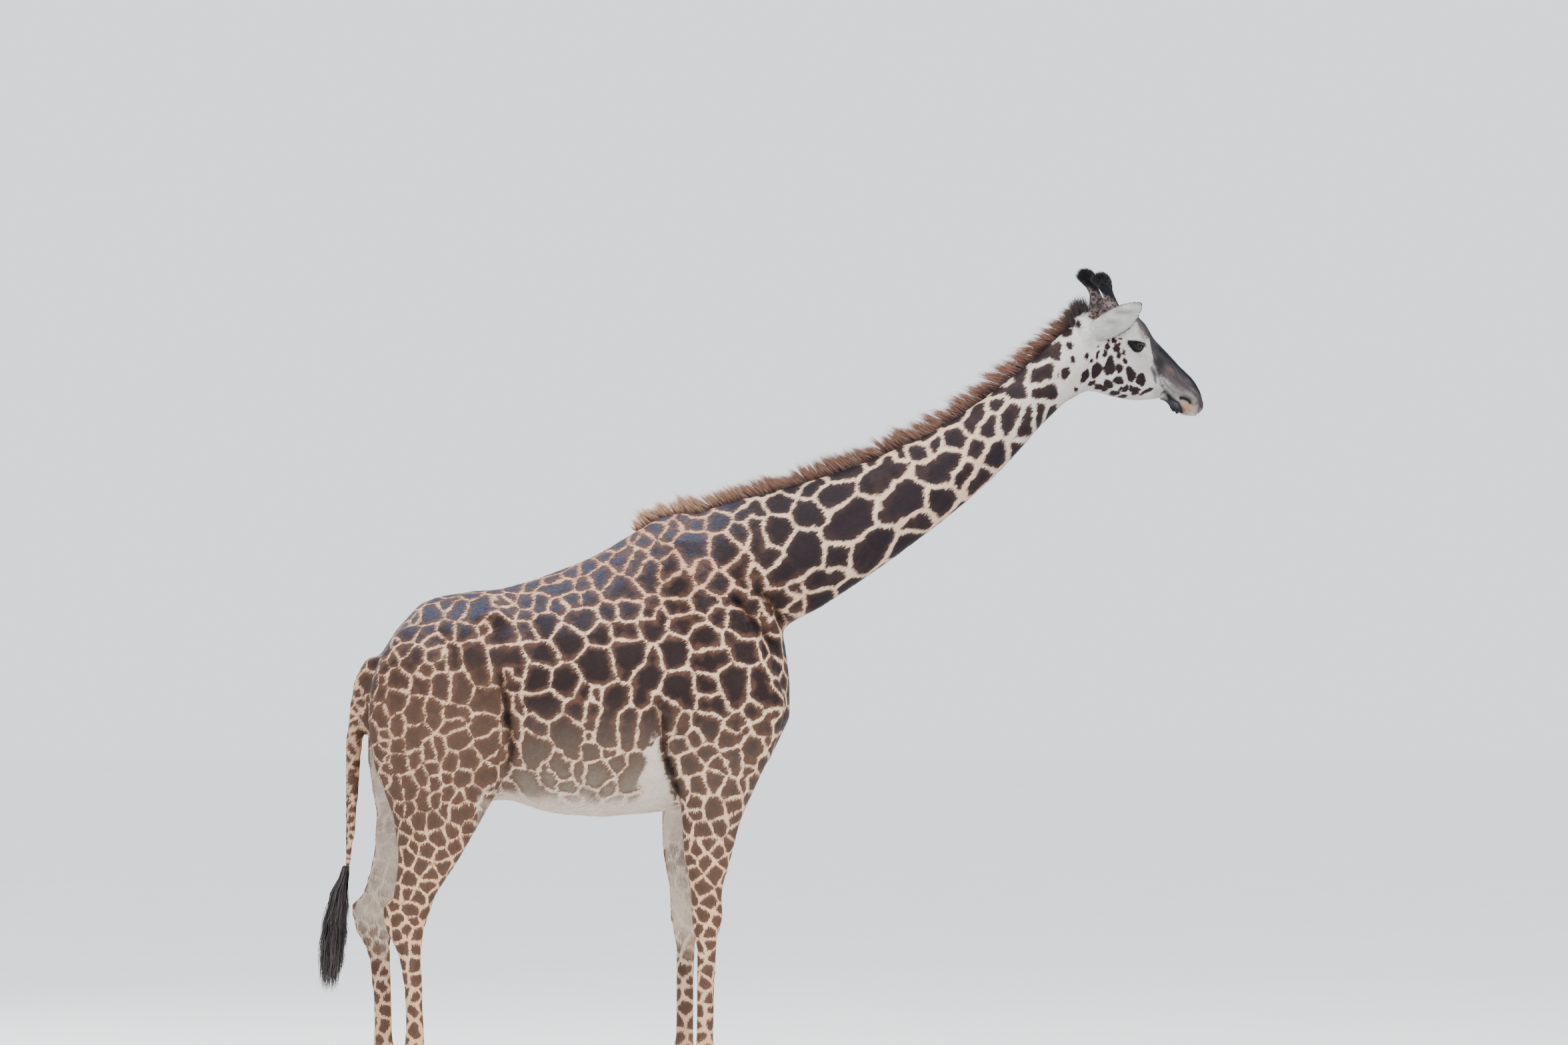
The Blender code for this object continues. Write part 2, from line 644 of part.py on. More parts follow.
hair = {mane.name: "mane_hair", tuft.name: "black_hair"}
for piece in giraffe.objects:
    kind = "coat"
    if piece.name.startswith("hoof"):
        kind = "hoof"
    elif piece.name.startswith("eye"):
        kind = "eye"
    kind = hair.get(piece.name, kind)
    piece.data.materials.clear()
    piece.data.materials.append(materials[kind])
    piece.data.shade_smooth()
    piece.data.set_sharp_from_angle(angle=math.radians(50))

centre_all(list(giraffe.objects))
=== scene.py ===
import contextlib
import math

import bmesh
import bpy
import numpy as np
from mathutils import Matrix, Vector, bvhtree, kdtree


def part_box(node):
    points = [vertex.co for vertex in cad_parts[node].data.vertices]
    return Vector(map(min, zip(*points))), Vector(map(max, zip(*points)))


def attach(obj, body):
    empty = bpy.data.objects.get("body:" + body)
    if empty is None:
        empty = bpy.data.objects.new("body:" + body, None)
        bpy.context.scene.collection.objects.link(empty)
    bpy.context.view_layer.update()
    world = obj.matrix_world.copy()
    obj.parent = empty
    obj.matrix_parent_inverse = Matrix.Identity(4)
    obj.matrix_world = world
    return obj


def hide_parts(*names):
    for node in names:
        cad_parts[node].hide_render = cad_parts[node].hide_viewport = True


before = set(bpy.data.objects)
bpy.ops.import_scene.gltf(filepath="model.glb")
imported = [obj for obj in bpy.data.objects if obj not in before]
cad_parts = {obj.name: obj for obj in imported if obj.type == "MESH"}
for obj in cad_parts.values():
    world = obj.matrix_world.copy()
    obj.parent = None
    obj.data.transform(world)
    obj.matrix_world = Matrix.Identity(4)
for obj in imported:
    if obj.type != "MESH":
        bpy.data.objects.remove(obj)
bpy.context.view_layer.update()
draws = np.random.default_rng

# The markings, folds and hair are set out on a plan animal that looks straight ahead, with its
# middle at y = 0. plan_of and posed_of go between that plan and the posed animal in the frame.
HEAD_TURN = math.radians(26)
TURN_STARTS, TURN_ENDS, TURN_AXIS_X = 0.95, 1.36, 1.22
PLAN_EYE = (1.664, 0.092, 3.459)
EYE_RADIUS = 0.027
EYE_OUTWARD = (0.16, 0.97, 0.10)
LID_HALF_LENGTH, UPPER_LID, LOWER_LID = 0.0262, 0.0115, 0.0180
PUPIL_HALF_LENGTH, PUPIL_HALF_HEIGHT = 0.0095, 0.0050
# The horns turn black at this height over HORN_X, and higher further back.
HORN_X, BLACK_SLANT, BLACK_FROM = 1.50, 0.6, 3.680

FLESH = ["head", "neck", "trunk", "tail"] + [
    "%s_%s_%s" % (leg, side, part)
    for leg in ("foreleg", "hindleg")
    for side in ("left", "right")
    for part in ("upper", "lower")
]
EYES = ["eye_left", "eye_right"]
EARS = ["ear_left", "ear_right"]
SIDES = {"right": -1, "left": 1}

BODY_VOXEL = 0.0170
HEAD_VOXEL = 0.0045
EAR_VOXEL = 0.0042
COAT_DEPTH = 0.004

# Where one part of the coat passes into the next, in metres of the plan.
HEAD_ABOVE, HEAD_FROM, FORE_FROM, LEGS_BELOW = 2.9, 1.36, -0.75, 1.15

# Patches of the right side. Each is one to four rounds: x, z of the middle and the reach, in
# millimetres.
PATCHES = [
    (-1656, 2124, 32, -1657, 2134, 24), (-1697, 2050, 32, -1665, 2040, 16),
    (-1727, 1961, 63, -1766, 1967, 30, -1732, 1983, 23), (-1776, 1953, 27, -1779, 1932, 11),
    (-1735, 1914, 36), (-1722, 1868, 13, -1673, 1977, 11), (-1765, 1840, 5),
    (-1739, 1811, 43, -1740, 1873, 15), (-1788, 1780, 25), (-1781, 1762, 23, -1788, 1703, 23),
    (-1659, 1742, 21), (-1659, 1722, 21, -1643, 1642, 6), (-1798, 1692, 26, -1801, 1677, 13),
    (-1647, 1580, 29, -1634, 1604, 12), (-1786, 1569, 19, -1824, 1514, 11),
    (-1793, 1564, 32, -1795, 1509, 21, -1805, 1576, 18), (-1654, 1561, 28, -1663, 1568, 15),
    (-1679, 1453, 13, -1690, 1450, 10), (-1676, 1430, 24), (-1383, 2316, 30, -1343, 2338, 13),
    (-1473, 2280, 57), (-1513, 2268, 40, -1664, 2163, 6), (-1467, 2210, 22, -1500, 2178, 16),
    (-1390, 2207, 23, -1365, 2194, 11), (-1552, 2194, 34, -1595, 2186, 14), (-1613, 2157, 7),
    (-1454, 2148, 23, -1435, 2165, 20), (-1573, 2118, 24, -1556, 2140, 12), (-1435, 2100, 31),
    (-1515, 2100, 32, -1549, 2066, 28), (-1612, 2081, 17), (-1405, 2056, 18, -1390, 2094, 7),
    (-1466, 2029, 15), (-1595, 1979, 36, -1607, 2021, 20, -1569, 1976, 20), (-1493, 1969, 31),
    (-1395, 1962, 42), (-1596, 1905, 43, -1626, 1868, 24), (-1444, 1871, 37, -1430, 1804, 34),
    (-1517, 1855, 45, -1503, 1881, 33), (-1594, 1759, 21, -1597, 1818, 18),
    (-1523, 1731, 45, -1478, 1769, 27), (-1595, 1710, 28), (-1408, 1667, 20, -1414, 1710, 19),
    (-1455, 1665, 20, -1460, 1703, 20), (-1512, 1662, 18, -1520, 1620, 16), (-1591, 1612, 40),
    (-1448, 1607, 25), (-1492, 1586, 21, -1487, 1553, 18), (-1379, 1567, 15),
    (-1434, 1547, 20, -1438, 1520, 15), (-1540, 1516, 26, -1549, 1494, 20, -1561, 1553, 18),
    (-1605, 1499, 31, -1608, 1551, 19), (-1433, 1446, 19, -1427, 1478, 15),
    (-1482, 1436, 30, -1478, 1495, 16), (-1547, 1431, 18, -1551, 1419, 18),
    (-1390, 1402, 20, -1386, 1429, 9), (-1557, 1333, 23), (-1180, 2379, 20, -1169, 2386, 11),
    (-1177, 2326, 25, -1133, 2323, 12), (-1335, 2308, 45), (-1235, 2304, 66, -1278, 2260, 24),
    (-1207, 2215, 23), (-1140, 2178, 62, -1165, 2235, 38),
    (-1136, 2109, 54, -1087, 2091, 46, -1065, 2026, 26, -1159, 2007, 25),
    (-1258, 2087, 55, -1240, 2002, 46, -1290, 2148, 12),
    (-1346, 2062, 27, -1350, 2095, 27, -1350, 2119, 17), (-1313, 1959, 58),
    (-1182, 1897, 46, -1233, 1897, 36, -1241, 1937, 26),
    (-1348, 1844, 28, -1310, 1845, 21, -1288, 1815, 4), (-1232, 1793, 42, -1199, 1819, 28),
    (-1342, 1793, 29, -1381, 1776, 28), (-1331, 1732, 44), (-1206, 1696, 47, -1179, 1732, 21),
    (-1285, 1644, 44, -1266, 1620, 21), (-1171, 1639, 26, -1144, 1660, 22), (-1361, 1636, 33),
    (-1306, 1568, 30), (-1204, 1563, 46, -1177, 1587, 21), (-1168, 1510, 24, -1191, 1514, 19),
    (-1370, 1497, 18, -1377, 1473, 13), (-1266, 1487, 30), (-1189, 1478, 31, -1216, 1444, 20),
    (-1326, 1467, 18, -1337, 1454, 13), (-1300, 1421, 29, -1341, 1403, 26, -1343, 1372, 17),
    (-931, 2424, 25, -934, 2427, 17), (-932, 2392, 40, -868, 2398, 28), (-1109, 2348, 7),
    (-972, 2341, 26, -966, 2310, 20), (-1035, 2334, 24), (-908, 2316, 18, -871, 2305, 14),
    (-1117, 2294, 22), (-1047, 2273, 14, -1030, 2264, 13), (-954, 2220, 46),
    (-1017, 2184, 28, -1043, 2219, 23), (-945, 2107, 53, -1016, 2124, 22),
    (-982, 1997, 56, -1009, 1955, 20), (-1086, 1983, 24, -1111, 2019, 18),
    (-1120, 1898, 28, -1102, 1822, 25, -1074, 1731, 20), (-943, 1881, 59, -1010, 1891, 32),
    (-1062, 1866, 19, -1074, 1899, 10), (-974, 1779, 23, -1004, 1814, 13),
    (-1121, 1738, 12, -1122, 1726, 11), (-1071, 1674, 42, -1066, 1643, 36, -1097, 1725, 5),
    (-1011, 1671, 72), (-938, 1561, 34, -945, 1549, 33, -952, 1609, 19),
    (-1038, 1538, 75, -962, 1449, 56, -916, 1417, 30, -860, 1438, 21),
    (-1097, 1517, 40, -1073, 1482, 5), (-649, 2637, 8), (-699, 2527, 28),
    (-629, 2502, 42, -581, 2545, 32), (-769, 2487, 38), (-827, 2469, 29), (-708, 2439, 48),
    (-777, 2410, 30), (-632, 2401, 42, -569, 2370, 29), (-761, 2352, 27), (-829, 2338, 34),
    (-666, 2289, 23), (-778, 2248, 39, -768, 2271, 19, -825, 2265, 17), (-702, 2192, 41),
    (-860, 2153, 60), (-733, 2051, 68), (-857, 1980, 62), (-727, 1915, 15, -732, 1938, 13),
    (-746, 1908, 4), (-644, 1899, 54, -680, 1753, 44, -673, 1831, 33), (-816, 1868, 41, -789, 1937, 35),
    (-742, 1850, 26, -749, 1876, 18, -751, 1786, 13), (-760, 1740, 7, -761, 1726, 6),
    (-835, 1730, 46, -874, 1783, 46, -828, 1676, 27), (-686, 1672, 12, -657, 1671, 4),
    (-716, 1593, 41, -739, 1557, 38, -728, 1591, 25), (-872, 1591, 34, -905, 1612, 31, -895, 1645, 9),
    (-805, 1588, 20, -803, 1553, 13), (-846, 1522, 30), (-771, 1498, 24, -757, 1451, 20),
    (-672, 1411, 37, -635, 1391, 24), (-750, 1398, 37, -747, 1388, 15), (-561, 2614, 20),
    (-528, 2599, 32, -414, 2621, 29, -382, 2670, 26), (-425, 2557, 35, -461, 2568, 17),
    (-380, 2518, 54, -419, 2463, 23), (-563, 2490, 38, -552, 2538, 32),
    (-500, 2427, 40, -490, 2476, 38), (-379, 2310, 29, -347, 2298, 28),
    (-579, 2306, 36, -553, 2304, 24), (-497, 2287, 24, -489, 2320, 15),
    (-492, 2210, 41, -446, 2262, 21), (-580, 2186, 43, -625, 2204, 33), (-398, 2109, 59),
    (-574, 2109, 68, -601, 2067, 36), (-494, 2016, 51, -474, 2089, 37, -525, 1905, 35),
    (-583, 1823, 41, -599, 1762, 32, -590, 1734, 24), (-408, 1819, 54, -434, 1868, 27, -459, 1891, 19),
    (-482, 1804, 57, -505, 1727, 34), (-446, 1705, 20, -413, 1747, 5),
    (-574, 1527, 47, -564, 1576, 38, -549, 1635, 29), (-592, 1416, 31), (-194, 2685, 37),
    (-354, 2685, 32, -290, 2673, 24), (-309, 2564, 84), (-166, 2561, 66, -189, 2586, 24),
    (-258, 2501, 36, -250, 2453, 15), (-178, 2410, 41), (-373, 2395, 39, -403, 2390, 24, -342, 2467, 9),
    (-260, 2322, 36, -203, 2334, 8), (-192, 2261, 39), (-349, 2241, 40, -282, 2251, 20),
    (-249, 2170, 52), (-236, 2083, 45, -183, 2084, 30, -273, 2077, 29), (-249, 1971, 40),
    (-368, 1961, 57, -332, 1902, 34), (-181, 1877, 34, -255, 1883, 26),
    (-357, 1803, 41, -362, 1776, 25), (-238, 1768, 41, -282, 1806, 27),
    (-293, 1740, 30, -302, 1731, 19), (-151, 1728, 32, -107, 1733, 16, -75, 1764, 10),
    (-252, 1671, 23, -228, 1685, 17), (-146, 1664, 28, -115, 1604, 21, -128, 1625, 21),
    (-188, 1631, 25, -165, 1599, 9), (77, 2759, 37), (-4, 2720, 22, -82, 2712, 18, -13, 2742, 12),
    (66, 2647, 62), (-92, 2631, 44), (39, 2514, 51, -10, 2631, 45, -19, 2665, 39, -12, 2604, 35),
    (-98, 2480, 47, -85, 2411, 31, -83, 2529, 6), (-60, 2466, 10),
    (-23, 2418, 29, -36, 2460, 27, -34, 2377, 10), (-110, 2345, 42, -45, 2293, 28, -157, 2335, 16),
    (123, 2270, 27, 117, 2251, 8), (73, 2260, 27, 29, 2291, 23), (-99, 2249, 53, -51, 2239, 34),
    (58, 2231, 24, 12, 2264, 21, 24, 2232, 12), (7, 2124, 18, 14, 2106, 14),
    (-75, 2112, 46, -137, 2177, 19), (107, 2039, 17, 163, 1964, 15), (-122, 1994, 53, -125, 1915, 41),
    (77, 1958, 34, 89, 1968, 18, 101, 1965, 16), (54, 1905, 42, 5, 1939, 39, -12, 1989, 36),
    (-47, 1857, 26), (-105, 1812, 23, -124, 1786, 21), (-5, 1756, 36, 13, 1713, 25, 57, 1851, 21),
    (-28, 1705, 48, -53, 1624, 25), (-61, 1593, 20, -81, 1530, 11), (338, 2907, 17),
    (218, 2828, 28, 273, 2863, 8), (302, 2792, 49, 344, 2817, 49), (213, 2721, 51, 269, 2690, 32),
    (357, 2635, 90, 443, 2713, 73), (213, 2559, 86, 79, 2462, 55, 106, 2489, 37), (352, 2553, 93),
    (335, 2469, 41, 255, 2446, 36), (142, 2297, 25, 132, 2390, 11), (615, 2978, 21, 607, 2998, 6),
    (597, 2893, 57, 560, 2848, 49, 475, 2835, 20, 569, 2957, 18), (424, 2544, 78, 509, 2614, 54),
    (773, 3034, 13), (685, 3001, 29), (769, 2881, 49, 702, 2892, 33, 840, 2962, 33),
    (644, 2804, 101, 520, 2720, 33), (770, 2797, 64), (696, 2704, 35, 666, 2693, 26),
    (1118, 3258, 32, 1148, 3348, 26, 1046, 3262, 26), (1039, 3203, 34),
    (1093, 3151, 44, 1092, 3121, 43, 1121, 3187, 19), (964, 3139, 32, 937, 3108, 31, 973, 3193, 20),
    (997, 3100, 43, 1010, 3125, 28), (956, 3014, 40), (1033, 2983, 50), (975, 2889, 32, 937, 2854, 18),
    (893, 2880, 26, 917, 2914, 25), (1337, 3498, 62, 1326, 3506, 11),
    (1319, 3471, 68, 1233, 3416, 33, 1272, 3441, 28), (1274, 3351, 44, 1225, 3341, 33),
    (1316, 3338, 32), (1280, 3276, 31, 1232, 3262, 17), (1224, 3143, 16, 1227, 3173, 16, 1232, 3127, 6),
    (1150, 3095, 39, 1168, 3138, 20, 1178, 3177, 12),
]

# The numbers that patches go by: those of the table from 0, their like on the left from MIRRORED,
# and those that fill in bare coat from FILLED.
MIRRORED, FILLED, MOST_FILLED = 1000, 2000, 6000

# Spots of the head's right side, seen from the side: millimetres forward of SPOT_ORIGIN and below
# it, half length, half height, and the degrees by which the front end leans down.
FACE_SPOTS = [
    (471, 442, 45, 22, 103), (412, 460, 38, 24, 90), (361, 486, 34, 19, 101),
    (514, 452, 25, 16, 95), (467, 524, 24, 18, 57), (294, 352, 22, 14, 106),
    (416, 392, 20, 9, 104), (489, 331, 17, 11, 81), (540, 421, 16, 10, 71), (389, 419, 11, 10, 0),
    (369, 398, 19, 10, 105), (422, 354, 14, 6, 142), (514, 343, 9, 7, 155), (466, 330, 8, 7, 83),
    (517, 321, 9, 6, 12), (460, 357, 14, 13, 90), (450, 387, 18, 11, 85), (501, 364, 18, 15, 150),
    (512, 394, 17, 11, 85), (273, 474, 30, 20, 95), (565, 479, 40, 21, 75), (612, 503, 30, 23, 60),
    (511, 505, 22, 21, 0), (544, 542, 19, 15, 100), (524, 542, 10, 14, 80),
    (589, 552, 22, 18, -30), (637, 553, 34, 11, -28), (495, 562, 27, 11, 5), (534, 575, 19, 10, 8),
    (450, 542, 16, 13, 0), (422, 533, 20, 14, 20), (391, 518, 19, 13, -20),
    (283, 292, 30, 18, -42), (279, 257, 14, 11, -20), (302, 231, 11, 8, -60), (309, 248, 9, 7, 0),
    (335, 255, 20, 9, 100), (242, 276, 16, 9, -40), (307, 413, 18, 13, 90), (323, 542, 14, 10, 20),
    (534, 380, 17, 7, 84), (568, 542, 16, 10, 70),
]
SPOT_ORIGIN = (1.0668, 3.8156)
MM = 0.001
SPOT_STRETCH, SPOT_GROWTH, SPOT_REACH_ACROSS = 0.90, 1.03, 0.045
CROWN_SPECKLES = 420

EAR_ROOT = (1.428, 0.066, 3.510)
EAR_POINTS = {-1: (0.69, -0.47, 0.46), 1: (0.62, 0.70, 0.35)}

# Colours of the hair and the bare skin.
NET_TRUNK = (0.690, 0.465, 0.325)
NET_BACK = (0.560, 0.320, 0.205)
NET_RUMP = (0.620, 0.385, 0.250)
NET_NECK = (0.660, 0.470, 0.340)
NET_LEG = (0.700, 0.425, 0.255)
LEG_LOW = (0.580, 0.370, 0.220)
NET_BELLY = (0.480, 0.390, 0.310)
WHITE_HAIR = (0.560, 0.510, 0.440)
FACE_HAIR = (0.500, 0.490, 0.475)
EAR_HAIR = (0.360, 0.365, 0.350)
EAR_RIM = (0.040, 0.038, 0.043)
EAR_SHADE = (0.150, 0.140, 0.128)
CROWN_HAIR = (0.090, 0.076, 0.080)
PATCH_BROWN = (0.019, 0.012, 0.013)
PATCH_RIM = (0.125, 0.064, 0.042)
PATCH_FLANK = (0.112, 0.080, 0.062)
PATCH_BELLY = (0.235, 0.195, 0.150)
PATCH_NECK = (0.019, 0.014, 0.017)
PATCH_LEG = (0.080, 0.046, 0.033)
# Painted sheen: the back's patches turn slate blue where the skin faces up, standing in for the sky's
# reflection on glossy hair.
PATCH_SKY_SHEEN = (0.054, 0.058, 0.088)
PATCH_FACE = (0.014, 0.010, 0.012)
BAND_BROWN = (0.022, 0.017, 0.020)
BAND_LIGHT = (0.120, 0.088, 0.084)
BAND_TOP = (0.008, 0.009, 0.015)
LID_BLACK = (0.010, 0.009, 0.010)
LIP_ORANGE = (0.340, 0.190, 0.105)
MUZZLE_GREY = (0.115, 0.102, 0.106)
CHIN_DARK = (0.008, 0.009, 0.012)
MUZZLE_SHADE = (0.070, 0.060, 0.064)

# Painted shade in the deepest creases: how much of the hair's colour shows there, and how wide the painted
# shade is.
CREASE_SHADE_TINT, CREASE_WIDTH = (0.08, 0.06, 0.06), 0.016
# Pale hair between the patches is stained in places, and the patches are worn in places.
NET_STAINED, PATCH_WORN = (0.80, 0.68, 0.58, 1), (0.52, 0.50, 0.50, 1)
# The dark band down the nose reaches from the profile to this line of plan x, z.
BAND_LOWER_EDGE = [
    (1.560, 3.575), (1.610, 3.588), (1.675, 3.588), (1.700, 3.530), (1.745, 3.480), (1.752, 3.410),
    (1.765, 3.372), (1.800, 3.325), (1.867, 3.292), (1.940, 3.264), (1.985, 3.224), (2.010, 3.196),
    (2.050, 3.175),
]
# Soft marks of the face: plan x, z of the middle, half sizes, lean, colour, strength.
FACE_MARKS = [
    ((1.905, 3.262), (0.105, 0.050), -35, MUZZLE_GREY, 0.85),
    ((1.789, 3.387), (0.034, 0.030), -50, (0.020, 0.018, 0.022), 0.88),
    ((1.787, 3.346), (0.026, 0.022), -20, (0.034, 0.030, 0.032), 0.75),
    ((1.855, 3.352), (0.036, 0.018), -40, (0.130, 0.088, 0.080), 0.60),
    ((1.888, 3.317), (0.046, 0.016), -38, (0.048, 0.038, 0.044), 0.75),
    ((1.940, 3.285), (0.040, 0.020), -38, (0.050, 0.038, 0.046), 0.70),
    ((1.850, 3.288), (0.044, 0.010), -42, (0.300, 0.300, 0.290), 0.50),
    ((1.835, 3.304), (0.022, 0.011), -30, (0.400, 0.390, 0.380), 0.50),
    ((1.905, 3.222), (0.024, 0.011), -35, (0.380, 0.350, 0.300), 0.60),
    ((1.955, 3.190), (0.040, 0.028), -20, LIP_ORANGE, 0.90),
    ((2.014, 3.194), (0.024, 0.042), -10, (0.060, 0.036, 0.044), 0.85),
    ((1.952, 3.232), (0.046, 0.014), -22, (0.060, 0.050, 0.055), 0.60),
    ((1.874, 3.207), (0.048, 0.030), -42, CHIN_DARK, 0.96),
    ((1.912, 3.176), (0.040, 0.026), -38, CHIN_DARK, 0.96),
    ((1.823, 3.287), (0.009, 0.007), 0, (0.040, 0.035, 0.036), 0.70),
    ((1.704, 3.528), (0.022, 0.040), 15, (0.150, 0.125, 0.120), 0.70),
    ((1.700, 3.415), (0.040, 0.014), -20, (0.330, 0.320, 0.310), 0.50),
    ((1.700, 3.350), (0.050, 0.060), 0, (0.400, 0.380, 0.365), 0.45),
    ((1.806, 3.258), (0.040, 0.026), -30, (0.250, 0.235, 0.230), 0.60),
    ((1.640, 3.560), (0.050, 0.030), 20, (0.330, 0.300, 0.290), 0.55),
    ((1.560, 3.600), (0.090, 0.050), 0, (0.10, 0.085, 0.09), 0.70),
    ((1.500, 3.620), (0.080, 0.040), 0, (0.10, 0.085, 0.09), 0.70),
]
NOSTRIL = [(1.905, 3.2320), (1.930, 3.2330), (1.955, 3.2240), (1.972, 3.2020)]
MOUTH = [(1.845, 3.2560), (1.877, 3.2310), (1.911, 3.2110), (1.924, 3.1850), (1.931, 3.1500)]
PROFILE = [(1.780, 3.480), (1.850, 3.425), (1.915, 3.375), (1.968, 3.330), (1.998, 3.285), (2.025, 3.235)]
# Dark strokes of bare skin: plan x, z of the line, how wide, colour, strength.
FACE_STROKES = [
    (MOUTH, 0.0060, CHIN_DARK, 0.95),
    (NOSTRIL, 0.0080, CHIN_DARK, 1.0),
    ([(1.828, 3.270), (1.850, 3.254), (1.866, 3.236), (1.880, 3.215)], 0.0110, CHIN_DARK, 0.85),
    ([(1.968, 3.202), (1.985, 3.205), (2.000, 3.215)], 0.0070, CHIN_DARK, 0.5),
    ([(1.845, 3.256), (1.832, 3.262), (1.822, 3.245)], 0.0060, CHIN_DARK, 0.7),
    ([(1.745, 3.380), (1.760, 3.358), (1.774, 3.335), (1.788, 3.290)], 0.0080, BAND_BROWN, 0.80),
    ([(1.790, 3.335), (1.810, 3.300), (1.835, 3.270)], 0.0060, BAND_BROWN, 0.45),
    ([(1.815, 3.318), (1.850, 3.285), (1.895, 3.250)], 0.0050, MUZZLE_SHADE, 0.65),
    ([(1.796, 3.302), (1.828, 3.274), (1.860, 3.252)], 0.0050, MUZZLE_SHADE, 0.55),
    ([(1.850, 3.322), (1.890, 3.289), (1.935, 3.255)], 0.0060, MUZZLE_SHADE, 0.60),
    (PROFILE, 0.0200, BAND_TOP, 0.90),
]
# A dark trail from the corner of the eye, forward and up of the eye's middle.
TEAR_LINE = [(0.020, 0.002), (0.040, 0.007), (0.050, 0.014)]
# The foreleg's fold down the side of the trunk: heights, and plan x at each.
FORELEG_FOLD = ((1.30, 1.44, 1.66, 1.81, 1.93), (-0.405, -0.380, -0.416, -0.431, -0.455))


# ---------------------------------------------------------------- plan and pose


def eased(low, high, value):
    t = np.clip((np.asarray(value, float) - low) / (high - low), 0, 1)
    return t * t * (3 - 2 * t)


def bell(distance, width):
    """1 in the middle, fading to nothing past about twice the width."""
    return np.exp(-((distance / width) ** 2))


def toward(a, b, share):
    return a + (b - a) * share


def rotated(a, b, angle):
    """Turns a pair of coordinates, from the first towards the second."""
    c, s = np.cos(angle), np.sin(angle)
    return a * c - b * s, a * s + b * c


def unit(vectors):
    return vectors / np.maximum(np.linalg.norm(vectors, axis=1), 1e-6)[:, None]


def turn_at(x):
    return HEAD_TURN * eased(TURN_STARTS, TURN_ENDS, x)


def posed_of(points):
    points = np.atleast_2d(np.asarray(points, float))
    angle = turn_at(points[:, 0])
    c, s = np.cos(angle), np.sin(angle)
    x, y = points[:, 0] - TURN_AXIS_X, points[:, 1]
    turned = np.stack([TURN_AXIS_X + x * c - y * s, x * s + y * c, points[:, 2]], 1)
    return np.where((angle > 0)[:, None], turned, points) + PLAN_SHIFT


def plan_of(points):
    points = np.atleast_2d(np.asarray(points, float)) - PLAN_SHIFT
    x, y = points[:, 0] - TURN_AXIS_X, points[:, 1]
    plan_x = points[:, 0].copy()
    for _ in range(12):
        angle = turn_at(plan_x)
        plan_x = 0.4 * plan_x + 0.6 * (TURN_AXIS_X + x * np.cos(angle) + y * np.sin(angle))
    angle = turn_at(plan_x)
    c, s = np.cos(angle), np.sin(angle)
    flat = np.stack([TURN_AXIS_X + x * c + y * s, -x * s + y * c, points[:, 2]], 1)
    return np.where((angle > 0)[:, None], flat, points)


def posed_direction(vector, plan_x=2.0):
    """Turns a direction of the plan with the head."""
    x, y, z = vector
    return np.array([*rotated(x, y, float(turn_at(plan_x))), z])


PLAN_SHIFT = np.zeros(3)
eye_low, eye_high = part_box("eye_left")
PLAN_SHIFT = np.array((eye_low + eye_high) / 2) - posed_of([PLAN_EYE])[0]


# ---------------------------------------------------------------- mesh tools


def deselect_all():
    for other in bpy.context.selected_objects:
        other.select_set(False)


def select_only(obj):
    deselect_all()
    bpy.context.view_layer.objects.active = obj
    obj.select_set(True)


def applied(obj, kind, **settings):
    select_only(obj)
    modifier = obj.modifiers.new(kind.lower(), kind)
    for name, value in settings.items():
        setattr(modifier, name, value)
    bpy.ops.object.modifier_apply(modifier=modifier.name)


def in_edit_mode(obj, operator, **settings):
    """Runs an operator on all of a mesh."""
    select_only(obj)
    bpy.ops.object.mode_set(mode="EDIT")
    bpy.ops.mesh.select_all(action="SELECT")
    operator(**settings)
    bpy.ops.object.mode_set(mode="OBJECT")


@contextlib.contextmanager
def edited(obj):
    bm = bmesh.new()
    bm.from_mesh(obj.data)
    yield bm
    bm.to_mesh(obj.data)
    bm.free()
    obj.data.update()


def joined_copy(names, label):
    """One loose copy of several nodes, each with its own points merged."""
    whole = bmesh.new()
    for name in names:
        one = bmesh.new()
        one.from_mesh(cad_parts[name].data)
        bmesh.ops.remove_doubles(one, verts=one.verts, dist=1e-5)
        spare = bpy.data.meshes.new("spare")
        one.to_mesh(spare)
        one.free()
        whole.from_mesh(spare)
        bpy.data.meshes.remove(spare)
    mesh = bpy.data.meshes.new(label)
    whole.to_mesh(mesh)
    whole.free()
    obj = bpy.data.objects.new(label, mesh)
    bpy.context.scene.collection.objects.link(obj)
    return obj


def listed(items, label, width, kind=float):
    """What every point, edge or corner holds under a label, as rows."""
    values = np.empty(len(items) * width, kind)
    items.foreach_get(label, values)
    return values.reshape(-1, width)


def fill(items, label, values, kind=np.float32):
    items.foreach_set(label, np.ascontiguousarray(values, kind).ravel())


def points_of(obj):
    return listed(obj.data.vertices, "co", 3)


def arrays_of(obj):
    """Points and triangles of a mesh that is all triangles."""
    return points_of(obj), listed(obj.data.loops, "vertex_index", 1, np.int32).reshape(-1, 3)


def edges_of(obj):
    return listed(obj.data.edges, "vertices", 2, np.int32)


def normals_of(obj):
    obj.data.update()
    return listed(obj.data.vertices, "normal", 3)


def set_points(obj, points):
    fill(obj.data.vertices, "co", points)
    obj.data.update()


def shade_smooth(obj):
    fill(obj.data.polygons, "use_smooth", np.ones(len(obj.data.polygons)), bool)


